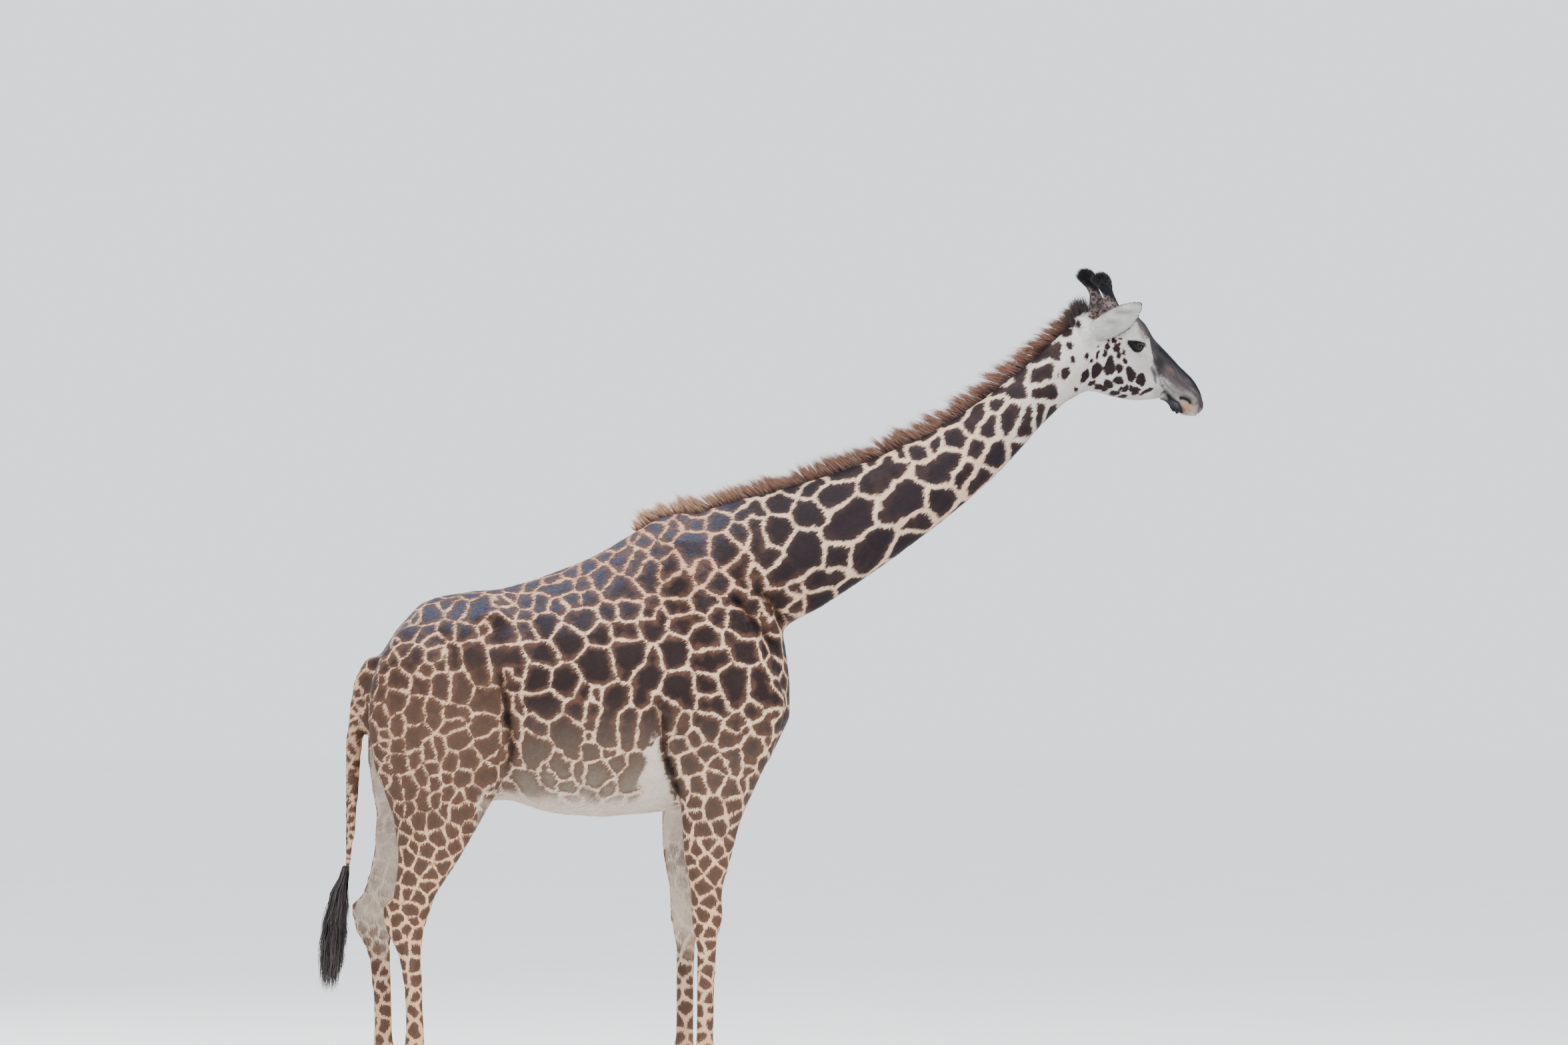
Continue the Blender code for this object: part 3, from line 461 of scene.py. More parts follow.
def evened(values, edges, rounds, weight=None, shrink_back=True):
    """Evens out points or numbers over the mesh. With shrink_back it keeps the volume."""
    values = values.copy()
    count = len(values)
    a, b = edges[:, 0], edges[:, 1]
    degree = np.maximum(np.bincount(a, minlength=count) + np.bincount(b, minlength=count), 1)
    columns = values.reshape(count, -1)
    share = np.ones(count) if weight is None else weight
    for step in range(rounds * 2 if shrink_back else rounds):
        amount = (0.5 if step % 2 == 0 else -0.52) if shrink_back else 0.5
        for k in range(columns.shape[1]):
            column = columns[:, k]
            total = np.bincount(a, column[b], count) + np.bincount(b, column[a], count)
            columns[:, k] = column + amount * share * (total / degree - column)
    return columns.reshape(values.shape)


def even_out(obj, rounds, **settings):
    set_points(obj, evened(points_of(obj), edges_of(obj), rounds, **settings))


def refined(obj, chosen):
    """Halves the edges between the chosen points."""
    flags = chosen.tolist()
    with edited(obj) as bm:
        edges = [e for e in bm.edges if flags[e.verts[0].index] and flags[e.verts[1].index]]
        bmesh.ops.subdivide_edges(bm, edges=edges, cuts=1, use_grid_fill=True)
        bmesh.ops.triangulate(bm, faces=[f for f in bm.faces if len(f.verts) > 3], quad_method="BEAUTY")


def shell_from(start, seen):
    """All points that hang together with this one. It marks them as seen."""
    shell, stack = [], [start]
    seen[start.index] = True
    while stack:
        vert = stack.pop()
        shell.append(vert)
        for edge in vert.link_edges:
            other = edge.other_vert(vert)
            if not seen[other.index]:
                seen[other.index] = True
                stack.append(other)
    return shell


def remeshed(names, label, voxel):
    """One closed shell of even triangles from several nodes, without what a remesh leaves inside."""
    obj = joined_copy(names, label)
    applied(obj, "REMESH", mode="VOXEL", voxel_size=voxel)
    with edited(obj) as bm:
        bm.verts.ensure_lookup_table()
        seen = np.zeros(len(bm.verts), bool)
        shells = [shell_from(vert, seen) for vert in bm.verts if not seen[vert.index]]
        for shell in sorted(shells, key=len)[:-1]:
            bmesh.ops.delete(bm, geom=shell, context="VERTS")
    applied(obj, "TRIANGULATE", quad_method="BEAUTY")
    return obj


def tree_of(obj):
    points, faces = arrays_of(obj)
    return bvhtree.BVHTree.FromPolygons(points.tolist(), faces.tolist())


def to_line(points, line):
    """How far each point is from a line of points, and how far along that line it is, 0 to 1."""
    line = np.asarray(line, float)
    near = np.full(len(points), np.inf)
    along = np.zeros(len(points))
    spans = np.linalg.norm(np.diff(line, axis=0), axis=1)
    reached = np.concatenate([[0], np.cumsum(spans)]) / spans.sum()
    for k in range(len(line) - 1):
        step = line[k + 1] - line[k]
        t = np.clip(((points - line[k]) @ step) / (step @ step), 0, 1)
        gap = np.linalg.norm(points - line[k] - t[:, None] * step, axis=1)
        closer = gap < near
        near[closer] = gap[closer]
        along[closer] = (reached[k] + t * (reached[k + 1] - reached[k]))[closer]
    return near, along


# ---------------------------------------------------------------- the skin


def make_skin():
    """One closed skin for head, neck, trunk, tail and legs, finest about the eyes and mouth."""
    pattern = remeshed(["head", "neck"] + EYES, "pattern", HEAD_VOXEL)
    even_out(pattern, 45)
    pattern_tree = tree_of(pattern)
    bpy.data.objects.remove(pattern)

    skin = remeshed(FLESH + EYES, "skin", BODY_VOXEL)
    even_out(skin, 10)
    for zone in (head_zone, face_zone, fine_zone):
        refined(skin, zone(plan_of(points_of(skin))))
        points = points_of(skin)
        pull = eased(1.30, 1.38, along_head(plan_of(points)))
        for k in np.nonzero(pull > 0)[0]:
            near = pattern_tree.find_nearest(points[k])[0]
            points[k] += pull[k] * (np.array(near) - points[k])
        set_points(skin, points)

    points = points_of(skin)
    plan = plan_of(points)
    on_head = eased(1.30, 1.45, plan[:, 0]) * (plan[:, 2] > 3)
    depth = COAT_DEPTH * (1 - 0.7 * on_head) * eased(0.1, 0.6, plan[:, 2])
    set_points(skin, points - normals_of(skin) * depth[:, None])
    return skin


def along_head(plan):
    """How far forward a place is, counted along the slope of the head's back edge."""
    return plan[:, 0] + 0.25 * (plan[:, 2] - 3.45)


def head_zone(plan):
    return (along_head(plan) > 1.31) & (plan[:, 2] > HEAD_ABOVE)


def face_zone(plan):
    return (plan[:, 0] > 1.60) & (plan[:, 2] > HEAD_ABOVE)


def fine_zone(plan):
    x, y, z = plan.T
    near_eye = (x - PLAN_EYE[0]) ** 2 + (z - PLAN_EYE[2]) ** 2 < 0.052**2
    near_nostril = to_line(plan[:, [0, 2]], NOSTRIL)[0] < 0.020
    near_lips = to_line(plan[:, [0, 2]], MOUTH)[0] < 0.014
    return (near_eye & (abs(y) > 0.05)) | (near_nostril & (abs(y) > 0.012)) | near_lips


# Grooves of the skin, and ridges, whose depth is negative: the line they follow as plan x, z, then
# how wide and how deep.
FACE_LINES = [
    (NOSTRIL, 0.0060, 0.011),
    (MOUTH, 0.0045, 0.007),
    ([(1.750, 3.372), (1.765, 3.335), (1.782, 3.304)], 0.010, 0.006),
    ([(1.772, 3.320), (1.790, 3.300), (1.800, 3.270)], 0.009, 0.004),
    ([(1.832, 3.262), (1.822, 3.243)], 0.008, 0.004),
    ([(1.920, 3.262), (1.958, 3.250), (1.990, 3.222)], 0.012, -0.005),
    ([(1.835, 3.232), (1.870, 3.205), (1.905, 3.180), (1.940, 3.160)], 0.024, -0.015),
    ([(1.955, 3.170), (2.010, 3.165)], 0.022, -0.005),
    ([(1.800, 3.300), (1.860, 3.280), (1.910, 3.262)], 0.012, 0.004),
    ([(1.700, 3.512), (1.735, 3.470), (1.760, 3.425)], 0.016, 0.006),
    ([(1.640, 3.425), (1.672, 3.418), (1.705, 3.425)], 0.007, 0.0025),
    ([(1.560, 3.400), (1.620, 3.395), (1.680, 3.400)], 0.030, -0.005),
    ([(1.640, 3.487), (1.672, 3.490), (1.715, 3.484)], 0.016, -0.006),
    ([(1.720, 3.440), (1.790, 3.400), (1.860, 3.330)], 0.022, -0.005),
    ([(1.690, 3.405), (1.740, 3.370), (1.775, 3.330)], 0.014, 0.003),
    ([(1.500, 3.300), (1.580, 3.275), (1.660, 3.262), (1.740, 3.258)], 0.020, -0.005),
    ([(1.455, 3.470), (1.450, 3.380), (1.470, 3.300)], 0.022, 0.007),
]
BODY_LINES = [
    ([(0.125, 2.190), (0.075, 2.280), (0.027, 2.344), (-0.040, 2.400)], 0.020, 0.022),
    ([(0.085, 2.105), (-0.016, 2.229), (-0.080, 2.310), (-0.150, 2.375)], 0.020, 0.011),
    ([(-1.150, 2.090), (-1.130, 1.926), (-1.108, 1.800), (-1.095, 1.690), (-1.125, 1.560)], 0.022, 0.019),
    ([(0.110, 2.140), (0.035, 2.270), (-0.040, 2.350)], 0.020, -0.010),
    ([(-1.160, 2.100), (-1.175, 1.950), (-1.180, 1.780), (-1.150, 1.620)], 0.050, -0.010),
    ([(-0.455, 1.930), (-0.431, 1.808), (-0.416, 1.661), (-0.357, 1.440)], 0.022, 0.017),
    ([(-0.060, 2.050), (-0.130, 1.850), (-0.180, 1.650)], 0.045, -0.008),
    ([(-0.350, 2.560), (-0.300, 2.350), (-0.200, 2.120), (-0.080, 1.980)], 0.050, -0.010),
    ([(-0.450, 2.480), (-0.400, 2.250), (-0.330, 2.020)], 0.045, 0.008),
    ([(-1.170, 2.370), (-1.130, 2.340)], 0.060, -0.016),
    ([(-1.060, 2.300), (-1.000, 2.150)], 0.080, 0.010),
    ([(-1.500, 2.200), (-1.450, 2.000), (-1.380, 1.800)], 0.070, -0.010),
    ([(-1.640, 2.100), (-1.600, 1.900), (-1.560, 1.700)], 0.035, 0.006),
    ([(0.150, 2.520), (0.500, 2.780), (0.900, 3.060)], 0.035, 0.008),
    ([(0.130, 2.380), (0.500, 2.620), (0.900, 2.920), (1.200, 3.180)], 0.030, -0.007),
    ([(0.300, 2.720), (0.700, 3.020), (1.100, 3.300)], 0.050, -0.006),
]
# Ribs: plan x of the top, then the heights of the top and the bottom.
RIBS = [(-0.520 - 0.078 * k, 2.22 - 0.020 * k, 1.66 + 0.01 * k) for k in range(7)]
RIB_RISE, RIB_WIDTH = 0.0032, 0.022


def shape_body(skin):
    points = points_of(skin)
    plan = plan_of(points)
    outer = eased(0.02, 0.09, abs(plan[:, 1]))
    legs = 1 - eased(1.2, 1.5, plan[:, 2])
    lift = np.zeros(len(points))
    for line, width, depth in BODY_LINES:
        gap, along = to_line(plan[:, [0, 2]], line)
        ends = eased(0, 0.25, along) * eased(0, 0.25, 1 - along) if len(line) > 2 else 1
        fade = ends * outer * (1 - legs)
        lift -= depth * fade * bell(gap, width)
    for x, top, bottom in RIBS:
        line = [(x, top), (x - 0.10, (top + bottom) / 2), (x - 0.12, bottom)]
        gap, along = to_line(plan[:, [0, 2]], line)
        lift += RIB_RISE * bell(gap, RIB_WIDTH) * eased(0, 0.3, along) * eased(0, 0.3, 1 - along) * outer
    set_points(skin, points + normals_of(skin) * lift[:, None])


def shape_face(skin):
    points = points_of(skin)
    plan = plan_of(points)
    outer = eased(0.006, 0.020, abs(plan[:, 1]))
    lift = np.zeros(len(points))
    for line, width, depth in FACE_LINES:
        gap, along = to_line(plan[:, [0, 2]], line)
        if line is MOUTH:
            ends, across = eased(0, 0.12, along), 1.0
        else:
            ends, across = eased(0, 0.12, along) * eased(0, 0.12, 1 - along), outer
        lift -= depth * ends * across * bell(gap, width)
    lift[plan[:, 0] < 1.30] = 0
    set_points(skin, points + normals_of(skin) * lift[:, None])


def eye_frame(side):
    """The eye's middle and its forward, upward and outward directions, in the frame."""
    low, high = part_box("eye_" + side)
    middle = np.array((low + high) / 2)
    out = posed_direction(np.array(EYE_OUTWARD) * (1, SIDES[side], 1))
    out /= np.linalg.norm(out)
    forward = posed_direction((1, 0, -0.10))
    forward -= out * (forward @ out)
    forward /= np.linalg.norm(forward)
    up = np.cross(forward, out) * (-SIDES[side])
    if up[2] < 0:
        up = -up
    return middle, forward, up, out


def from_eye(points, side):
    """How far forward, upward and outward of the eye's middle each place is, and how far away."""
    middle, forward, up, out = eye_frame(side)
    away = points - middle
    return away @ forward, away @ up, away @ out, np.linalg.norm(away, axis=1)


def upper_lid(t):
    """How far above the eye's middle the upper lid's edge is; t goes from -1 to 1 along the lid."""
    return UPPER_LID * (1 - abs(t) ** 2.6)


def lid_gap(a, b):
    """How far inside the opening between the lids a place is, in metres; outside it is negative."""
    t = np.clip(a / LID_HALF_LENGTH, -1.4, 1.4)
    lower = b + LOWER_LID * (1 - t**2) * (1 + 0.15 * t)
    return np.minimum(upper_lid(t) - b, lower)


def shape_lids(skin):
    """Draws the skin into lids: a rim beside the opening, a crease round it, and a hollow inside."""
    points = points_of(skin)
    for side in SIDES:
        middle = eye_frame(side)[0]
        a, b, c, reach = from_eye(points, side)
        near = (reach < 0.075) & (c > -0.012)
        gap = lid_gap(a, b)
        lid = eased(0.030, 0.006, -gap) * (gap <= 0)
        rim = bell(-gap - 0.0035, 0.0035) * (gap <= 0)
        crease = bell(-gap - 0.0120, 0.0030) * (gap <= 0)
        hugging = np.maximum(reach, EYE_RADIUS + 0.0022) + rim * 0.0018 - crease * 0.0022
        target = np.where(gap > 0, EYE_RADIUS - 0.0065, reach + lid * (hugging - reach))
        target = np.where(near, target, reach)
        points = middle + (points - middle) * (target / np.maximum(reach, 1e-6))[:, None]
    set_points(skin, points)


def ear_root(side):
    return posed_of([(EAR_ROOT[0], side * EAR_ROOT[1], EAR_ROOT[2])])[0]


def ear_axis(side):
    """The way an ear points, in the frame."""
    axis = posed_direction(EAR_POINTS[side])
    return axis / np.linalg.norm(axis)


def join_ears(skin):
    """Ears grow out of the head: their roots are drawn into it, then the shapes are made one."""
    for name in EARS:
        side = SIDES[name.split("_")[1]]
        ear = remeshed([name], name + "_copy", EAR_VOXEL)
        points = evened(points_of(ear), edges_of(ear), 5)
        inward = posed_direction((0.25, -side, -0.35))
        drawn = bell(np.linalg.norm(points - ear_root(side), axis=1), 0.055)
        set_points(ear, points + 0.024 * drawn[:, None] * inward)
        applied(skin, "BOOLEAN", operation="UNION", solver="MANIFOLD", object=ear)
        bpy.data.objects.remove(ear)
    with edited(skin) as bm:
        bmesh.ops.remove_doubles(bm, verts=bm.verts, dist=2e-4)
        bmesh.ops.triangulate(bm, faces=[f for f in bm.faces if len(f.verts) > 3])
    points = points_of(skin)
    joint = np.zeros(len(points))
    for side in SIDES.values():
        away = np.linalg.norm(points - ear_root(side), axis=1)
        joint = np.maximum(joint, np.exp(-((away / 0.060) ** 4)))
    even_out(skin, 6, weight=joint, shrink_back=False)


# ---------------------------------------------------------------- markings


def blend(base, colour, weight):
    return toward(base, np.asarray(colour), np.asarray(weight)[:, None])


def layered(base, *layers):
    """Blends colours over a base, one after another, each by its own weight."""
    for colour, weight in layers:
        base = blend(base, colour, weight)
    return base


def trunk_side(x, z):
    """The side of the trunk between the foreleg's fold and the thigh, 0 to 1."""
    return (x > -1.25) * eased(0.015, -0.015, x - np.interp(z, *FORELEG_FOLD)) * (z > 1.25)


class Coat:
    """What every place of the skin has: its markings, its colours, and how its hair lies."""

    def __init__(self, skin):
        points, faces = arrays_of(skin)
        self.points, self.faces = points, faces
        self.skin_tree = tree_of(skin)
        self.normals = normals_of(skin)
        self.plan = plan_of(points)
        self.set_ears()
        folded = 1 - np.linalg.norm(evened(self.normals, edges_of(skin), 5, shrink_back=False), axis=1)
        self.ear_rim = np.maximum(self.ear_rim, eased(0.12, 0.30, folded) * self.ear_reach)
        x, y, z = self.plan.T
        self.neck = eased(-0.25, 0.20, (x - 0.10) * 0.8 + (z - 2.5) * 0.6)
        self.head = eased(1.328, 1.350, points[:, 0] + 0.10 * (3.5 - z)) * (z > HEAD_ABOVE)
        self.leg = 1 - eased(1.15, 1.45, z)
        self.tail = eased(-1.745, -1.765, x) * (abs(y) < 0.07) * (z < 2.08)
        calm = evened(self.normals, edges_of(skin), 30, shrink_back=False)
        under = eased(-0.45, -0.95, calm[:, 2]) * eased(1.62, 1.44, z)
        inner = eased(-0.05, -0.40, np.sign(y) * calm[:, 1]) * eased(2.0, 1.7, z) * eased(0.45, 1.0, z)
        self.belly = np.maximum(under, inner * (1 - self.tail)) * (x < 0.1) * (1 - self.tail)
        ragged = 0.014 * np.sin(z * 55 + 3 * np.sin(x * 40)) + 0.009 * np.sin(z * 130 + 5 * np.sin(x * 70))
        half = np.interp(z, [1.42, 1.60, 1.78], [0.088, 0.058, 0.022])
        armpit = eased(1.30, 0.75, abs(x + 0.462 + ragged) / half) * eased(1.82, 1.70, z + ragged)
        armpit *= eased(1.37, 1.46, z + ragged)
        self.low_flank = eased(1.72, 1.46, z) * trunk_side(x, z)
        streaks = 0.5 + 0.5 * np.sin(x * 31 + 2.1 * np.sin(z * 17)) * np.sin(z * 23 + x * 9)
        wash = trunk_side(x, z) * eased(1.58, 1.40, z) * (0.30 + 0.45 * streaks)
        self.pale = np.clip(np.maximum(np.maximum(self.belly * 0.9, armpit), wash), 0, 1)
        self.set_pitch()
        self.set_spots()
        self.set_crown()
        self.set_colours()
        self.set_lie()
        self.place = points + self.wander()
        self.set_seeds()
        self.choose_seeds()
        net = self.net + 0.20 * np.maximum(self.head, self.ear)
        self.measures = np.stack([np.zeros(len(points)), net, self.spot], 1)
        self.fading = np.where(self.spot > -0.02, 1.0, self.fade)

    def set_ears(self):
        """How much each place is an ear's, and where the ear's dark rim and shaded hollow lie."""
        self.ear, self.ear_rim, self.ear_shade, self.ear_reach = np.zeros((4, len(self.points)))
        for side in EAR_POINTS:
            node = "ear_left" if side > 0 else "ear_right"
            away, axis = self.points - ear_root(side), ear_axis(side)
            low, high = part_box(node)
            low, high = np.array(low) - COAT_DEPTH, np.array(high) + COAT_DEPTH
            inside = ((self.points > low) & (self.points < high)).all(1)
            shell = tree_of(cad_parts[node])
            for k in np.nonzero(inside)[0]:
                inside[k] = shell.find_nearest(Vector(self.points[k]), 0.010)[0] is not None
            along = away @ axis
            inside = inside & (np.linalg.norm(away, axis=1) < 0.32)
            self.ear = np.maximum(self.ear, inside * eased(0.010, 0.035, along))
            leaf = np.nonzero(inside & (along > 0.05) & (self.ear > 0.5))[0]
            away, reach = away[leaf], along[leaf]
            thin = np.linalg.svd(away - away.mean(0), full_matrices=False)[2][2]
            across = np.cross(axis, thin)
            across *= np.sign(across[2]) / np.linalg.norm(across)
            width = away @ across
            steps = np.linspace(0.05, reach.max(), 14)
            beside = [width[abs(reach - step) < 0.012] for step in steps]
            low_edge = np.interp(reach, steps, [part.min() for part in beside])
            high_edge = np.interp(reach, steps, [part.max() for part in beside])
            share_up = (width - low_edge) / np.maximum(high_edge - low_edge, 0.01)
            to_edge = np.minimum(np.minimum(width - low_edge, high_edge - width), reach.max() - reach)
            clouds = 0.55 + 0.45 * np.sin(reach * 70 + 2 * np.sin(width * 60))
            self.ear_reach[leaf] = eased(0.06, 0.12, reach)
            self.ear_rim[leaf] = bell(to_edge, 0.0085) * eased(0.08, 0.14, reach)
            self.ear_shade[leaf] = bell(share_up - 0.66, 0.30) * eased(0.06, 0.14, reach) * clouds

    def set_pitch(self):
        """How far apart the patches sit, and how wide the pale net between them is."""
        x, _, z = self.plan.T
        pitch = np.interp(x, [-1.7, -1.2, -0.6, -0.1], [0.082, 0.092, 0.115, 0.130])
        low_pitch = np.interp(z, [0.1, 0.6, 1.0, 1.4, 1.75], [0.045, 0.052, 0.056, 0.072, 0.115])
        pitch = np.where(z < 1.75, np.minimum(pitch, low_pitch), pitch)
        neck_pitch = np.interp(x, [0.0, 0.6, 1.1, 1.35], [0.150, 0.165, 0.120, 0.085])
        self.pitch = toward(toward(pitch, neck_pitch, self.neck), 0.036, self.tail)
        net = np.interp(x, [-1.7, -0.9, 0.0], [0.005, 0.008, 0.010])
        net = toward(net, np.interp(x, [0.1, 1.0, 1.4], [0.013, 0.018, 0.020]), self.neck)
        net = toward(net, np.interp(z, [0.1, 0.9, 1.4], [0.018, 0.010, 0.007]), self.leg)
        self.net = toward(net, 0.008, self.tail) + 0.012 * self.low_flank * self.pale

    def from_right(self, x, z):
        """Where a level line from the right side first meets the skin."""
        return self.skin_tree.ray_cast(Vector((x, -5, z)), Vector((0, 1, 0)))[0]

    def set_spots(self):
        """How deep inside one of the face's small spots each place is, in metres."""
        drawn = draws(20)
        self.spot = np.full(len(self.points), -0.05)
        near = np.nonzero(self.points[:, 0] > 1.28)[0]
        for u, v, half_length, half_height, lean in FACE_SPOTS:
            hit = self.from_right(SPOT_ORIGIN[0] + MM * u, SPOT_ORIGIN[1] - MM * v)
            if hit is None:
                continue
            spot = plan_of([hit])[0]
            forward = posed_direction((1, 0, 0), spot[0])
            for side in (-1, 1):
                middle = spot * (1, side * np.sign(spot[1]), 1)
                if side > 0:
                    middle[[0, 2]] += drawn.normal(0, 0.006, 2)
                away = self.points[near] - posed_of([middle])[0]
                a, b = rotated((away @ forward) * SPOT_STRETCH, away[:, 2], math.radians(lean))
                across = away @ np.array((-forward[1], forward[0], 0))
                half = np.array((half_length, half_height)) * MM * SPOT_GROWTH
                angle = np.arctan2(b / half[1], a / half[0])
                bumps = 1 + 0.10 * np.sin(2 * angle + u) + 0.07 * np.sin(3 * angle + 1.7 * v)
                bumps += 0.05 * np.sin(5 * angle + u + v)
                half = half * bumps[:, None]
                flatness = (across / SPOT_REACH_ACROSS) ** 2
                ratio = np.sqrt((a / half[:, 0]) ** 2 + (b / half[:, 1]) ** 2 + flatness)
                self.spot[near] = np.maximum(self.spot[near], (1 - ratio) * half.min(1))

    def set_crown(self):
        """Small close speckles on the crown, about the foot of the horns."""
        feet = []
        for side in SIDES:
            low, high = (np.array(corner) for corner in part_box("ossicone_" + side))
            feet.append(np.array([(low[0] + high[0]) / 2 + 0.008, (low[1] + high[1]) / 2, low[2]]))
        span = feet[1] - feet[0]
        along = np.clip((self.points - feet[0]) @ span / (span @ span), 0, 1)
        away = np.linalg.norm((self.points - feet[0] - along[:, None] * span) * (1, 1, 0.8), axis=1)
        self.crown = eased(0.092, 0.060, away)
        near = np.nonzero((self.crown > 0.15) & (self.ear < 0.5))[0]
        drawn = draws(12)
        for _ in range(CROWN_SPECKLES):
            middle = self.points[near[drawn.integers(len(near))]]
            size = drawn.uniform(0.0040, 0.0072)
            depth = size - np.linalg.norm((self.points[near] - middle) * (1, 1, 0.6), axis=1)
            self.spot[near] = np.maximum(self.spot[near], depth)
        self.spot -= 0.05 * self.ear

    def set_colours(self):
        x, y, z = self.plan.T
        # How much the skin faces up, which sets the painted sky sheen on the back's patches.
        up = eased(0.25, 0.85, self.normals[:, 2])
        face = eased(1.30, 1.40, x) * (z > HEAD_ABOVE)
        ground = layered(
            np.tile(NET_TRUNK, (len(x), 1)),
            (NET_BACK, eased(2.15, 2.50, z) * eased(0.15, -0.25, x) * (1 - self.neck)),
            (NET_RUMP, eased(-0.95, -1.25, x) * 0.8),
            (NET_NECK, self.neck),
            (NET_LEG, self.leg * 0.9),
            (LEG_LOW, eased(0.85, 0.30, z)),
            (NET_BELLY, np.clip(0.55 * self.low_flank, 0, 1)),
            (WHITE_HAIR, self.pale * 0.85),
            (FACE_HAIR, np.maximum(face, eased(0.85, 1.36, x) * (z > 2.6) * 0.9)),
        )
        patch = layered(
            np.tile(PATCH_BROWN, (len(x), 1)),
            (PATCH_NECK, self.neck),
            (PATCH_FLANK, eased(1.95, 1.60, z) * (1 - self.neck) * (1 - 0.5 * eased(-0.46, -0.34, x))),
            (PATCH_BELLY, eased(1.66, 1.46, z) * trunk_side(x, z)),
            (PATCH_LEG, np.maximum(eased(1.75, 1.0, z), eased(2.25, 1.75, z) * eased(-1.0, -1.2, x))),
            # Painted reflection of the sky on the patches of the back, strongest where the skin faces up.
            (PATCH_SKY_SHEEN, np.clip(up * 1.3, 0, 1) * eased(0.05, -0.30, x) * eased(2.0, 2.3, z) * 0.85),
            (PATCH_FACE, face),
        )
        # Painted shade: the hair's colours darken along the deepest folds of the body.
        crease_shade = np.zeros(len(x))
        for line, _, depth in BODY_LINES:
            if depth > 0.010:
                gap, along = to_line(self.plan[:, [0, 2]], line)
                dark = np.clip(depth / 0.014, 0, 1) * eased(0, 0.3, along) * eased(0, 0.2, 1 - along)
                dark = np.clip(dark * (abs(y) > 0.03) * bell(gap, CREASE_WIDTH) * 1.7, 0, 1)
                crease_shade = np.maximum(crease_shade, dark)
                ground, patch = (blend(hair, hair * CREASE_SHADE_TINT, dark) for hair in (ground, patch))
        fade = np.clip(1 - 0.80 * self.pale - 0.22 * self.low_flank - 0.55 * eased(0.75, 0.25, z), 0, 1)
        self.fade = fade + np.maximum(self.neck, crease_shade)
        self.ground, self.patch = self.painted_face(ground), patch

    def painted_face(self, ground):
        """Lays the face's own colours over the net: nose band, muzzle, lids, crown and ears."""
        x, y, z = self.plan.T
        on_head = z > HEAD_ABOVE
        above = z - np.interp(x, *np.array(BAND_LOWER_EDGE).T)
        mottle = 0.010 * np.sin(x * 190 + 3 * np.sin(z * 120)) * np.sin(z * 160 + 2 * np.sin(x * 90))
        band = eased(-0.012, 0.016, above + mottle) * eased(1.560, 1.610, x) * (1 - self.ear)
        over, down = x * 0.69 + z * 0.72, x * 0.72 - z * 0.69
        streak = np.sin(over * 210 + 2.6 * np.sin(down * 31 + y * 40) + 1.5 * np.sin(over * 75 + down * 17))
        streak = (0.5 + 0.5 * streak) * (0.65 + 0.5 * np.sin(down * 47 + over * 33))
        streak = np.clip(streak, 0, 1) * eased(3.56, 3.36, z)
        top = eased(0.035, 0.085, above) * 0.75
        band_colour = layered(np.array(BAND_BROWN), (BAND_LIGHT, streak), (BAND_TOP, top))
        ground = blend(ground, band_colour, band * 0.94)
        flat = np.stack([x, z], 1)
        for (px, pz), (rx, rz), lean, colour, strength in FACE_MARKS:
            a, b = rotated(x - px, z - pz, -math.radians(lean))
            oval = np.exp(-(((a / rx) ** 2 + (b / rz) ** 2) ** 1.5))
            ground = blend(ground, colour, strength * oval * on_head)
        for line, width, colour, strength in FACE_STROKES:
            gap, along = to_line(flat, line)
            ends = eased(0, 0.15, along) * eased(0, 0.15, 1 - along)
            shown = (abs(y) > 0.010) * on_head
            ground = blend(ground, colour, strength * ends * bell(gap, width) * shown)
        for side in SIDES:
            a, b, c, reach = from_eye(self.points, side)
            near = (reach < 0.06) & (c > 0)
            dark = np.minimum(0.0215 - 0.06 * a - b, b + 0.0270 * (1 - ((a + 0.003) / 0.039) ** 2))
            lids = np.maximum(eased(-0.0030, 0.0015, dark), eased(-0.0110, -0.0070, lid_gap(a, b)))
            tear = to_line(np.stack([a, b], 1), TEAR_LINE)[0]
            ground = layered(ground, (LID_BLACK, near * lids), (LID_BLACK, near * 0.9 * bell(tear, 0.006)))
        self.spot = self.spot - 0.05 * band
        return layered(
            ground,
            (CROWN_HAIR, self.crown * (1 - self.ear) * 0.92),
            (EAR_HAIR, self.ear),
            (EAR_SHADE, self.ear * self.ear_shade * 0.85),
            (EAR_RIM, self.ear * np.clip(self.ear_rim * 1.2, 0, 1) * 0.9),
        )

    def set_lie(self):
        """Which way the hair lies, and how long it is."""
        x, y, z = self.plan.T
        on_head = z > HEAD_ABOVE
        lie = layered(
            np.tile((-0.80, 0.0, -0.60), (len(x), 1)),
            ((-0.95, 0.0, -0.25), eased(2.0, 2.4, z) * (1 - self.neck)),
            ((0.10, 0.0, -1.0), eased(1.6, 1.3, z) * (1 - self.belly * (z > 1.25))),
            ((-0.85, 0.0, 0.50), eased(1.55, 1.75, x) * on_head),
        )
        lie = np.stack([*rotated(lie[:, 0], lie[:, 1], turn_at(x)), lie[:, 2]], 1)
        for side in EAR_POINTS:
            lie = blend(lie, ear_axis(side), self.ear * (y * side > 0))
        self.lie = unit(lie - self.normals * (lie * self.normals).sum(1)[:, None])
        self.length = np.full(len(x), 0.0150)
        for length, share in (
            (0.0100, self.leg),
            (0.0170, self.neck * (x < 1.3)),
            (0.0200, self.belly),
            (0.0085, eased(1.36, 1.50, x) * on_head),
            (0.0045, eased(1.70, 1.95, x) * on_head),
            (0.0070, self.ear),
        ):
            self.length = toward(self.length, length, share)
        self.length = self.length * (1 - 0.80 * self.ear * np.clip(self.ear_rim * 1.3, 0, 1))

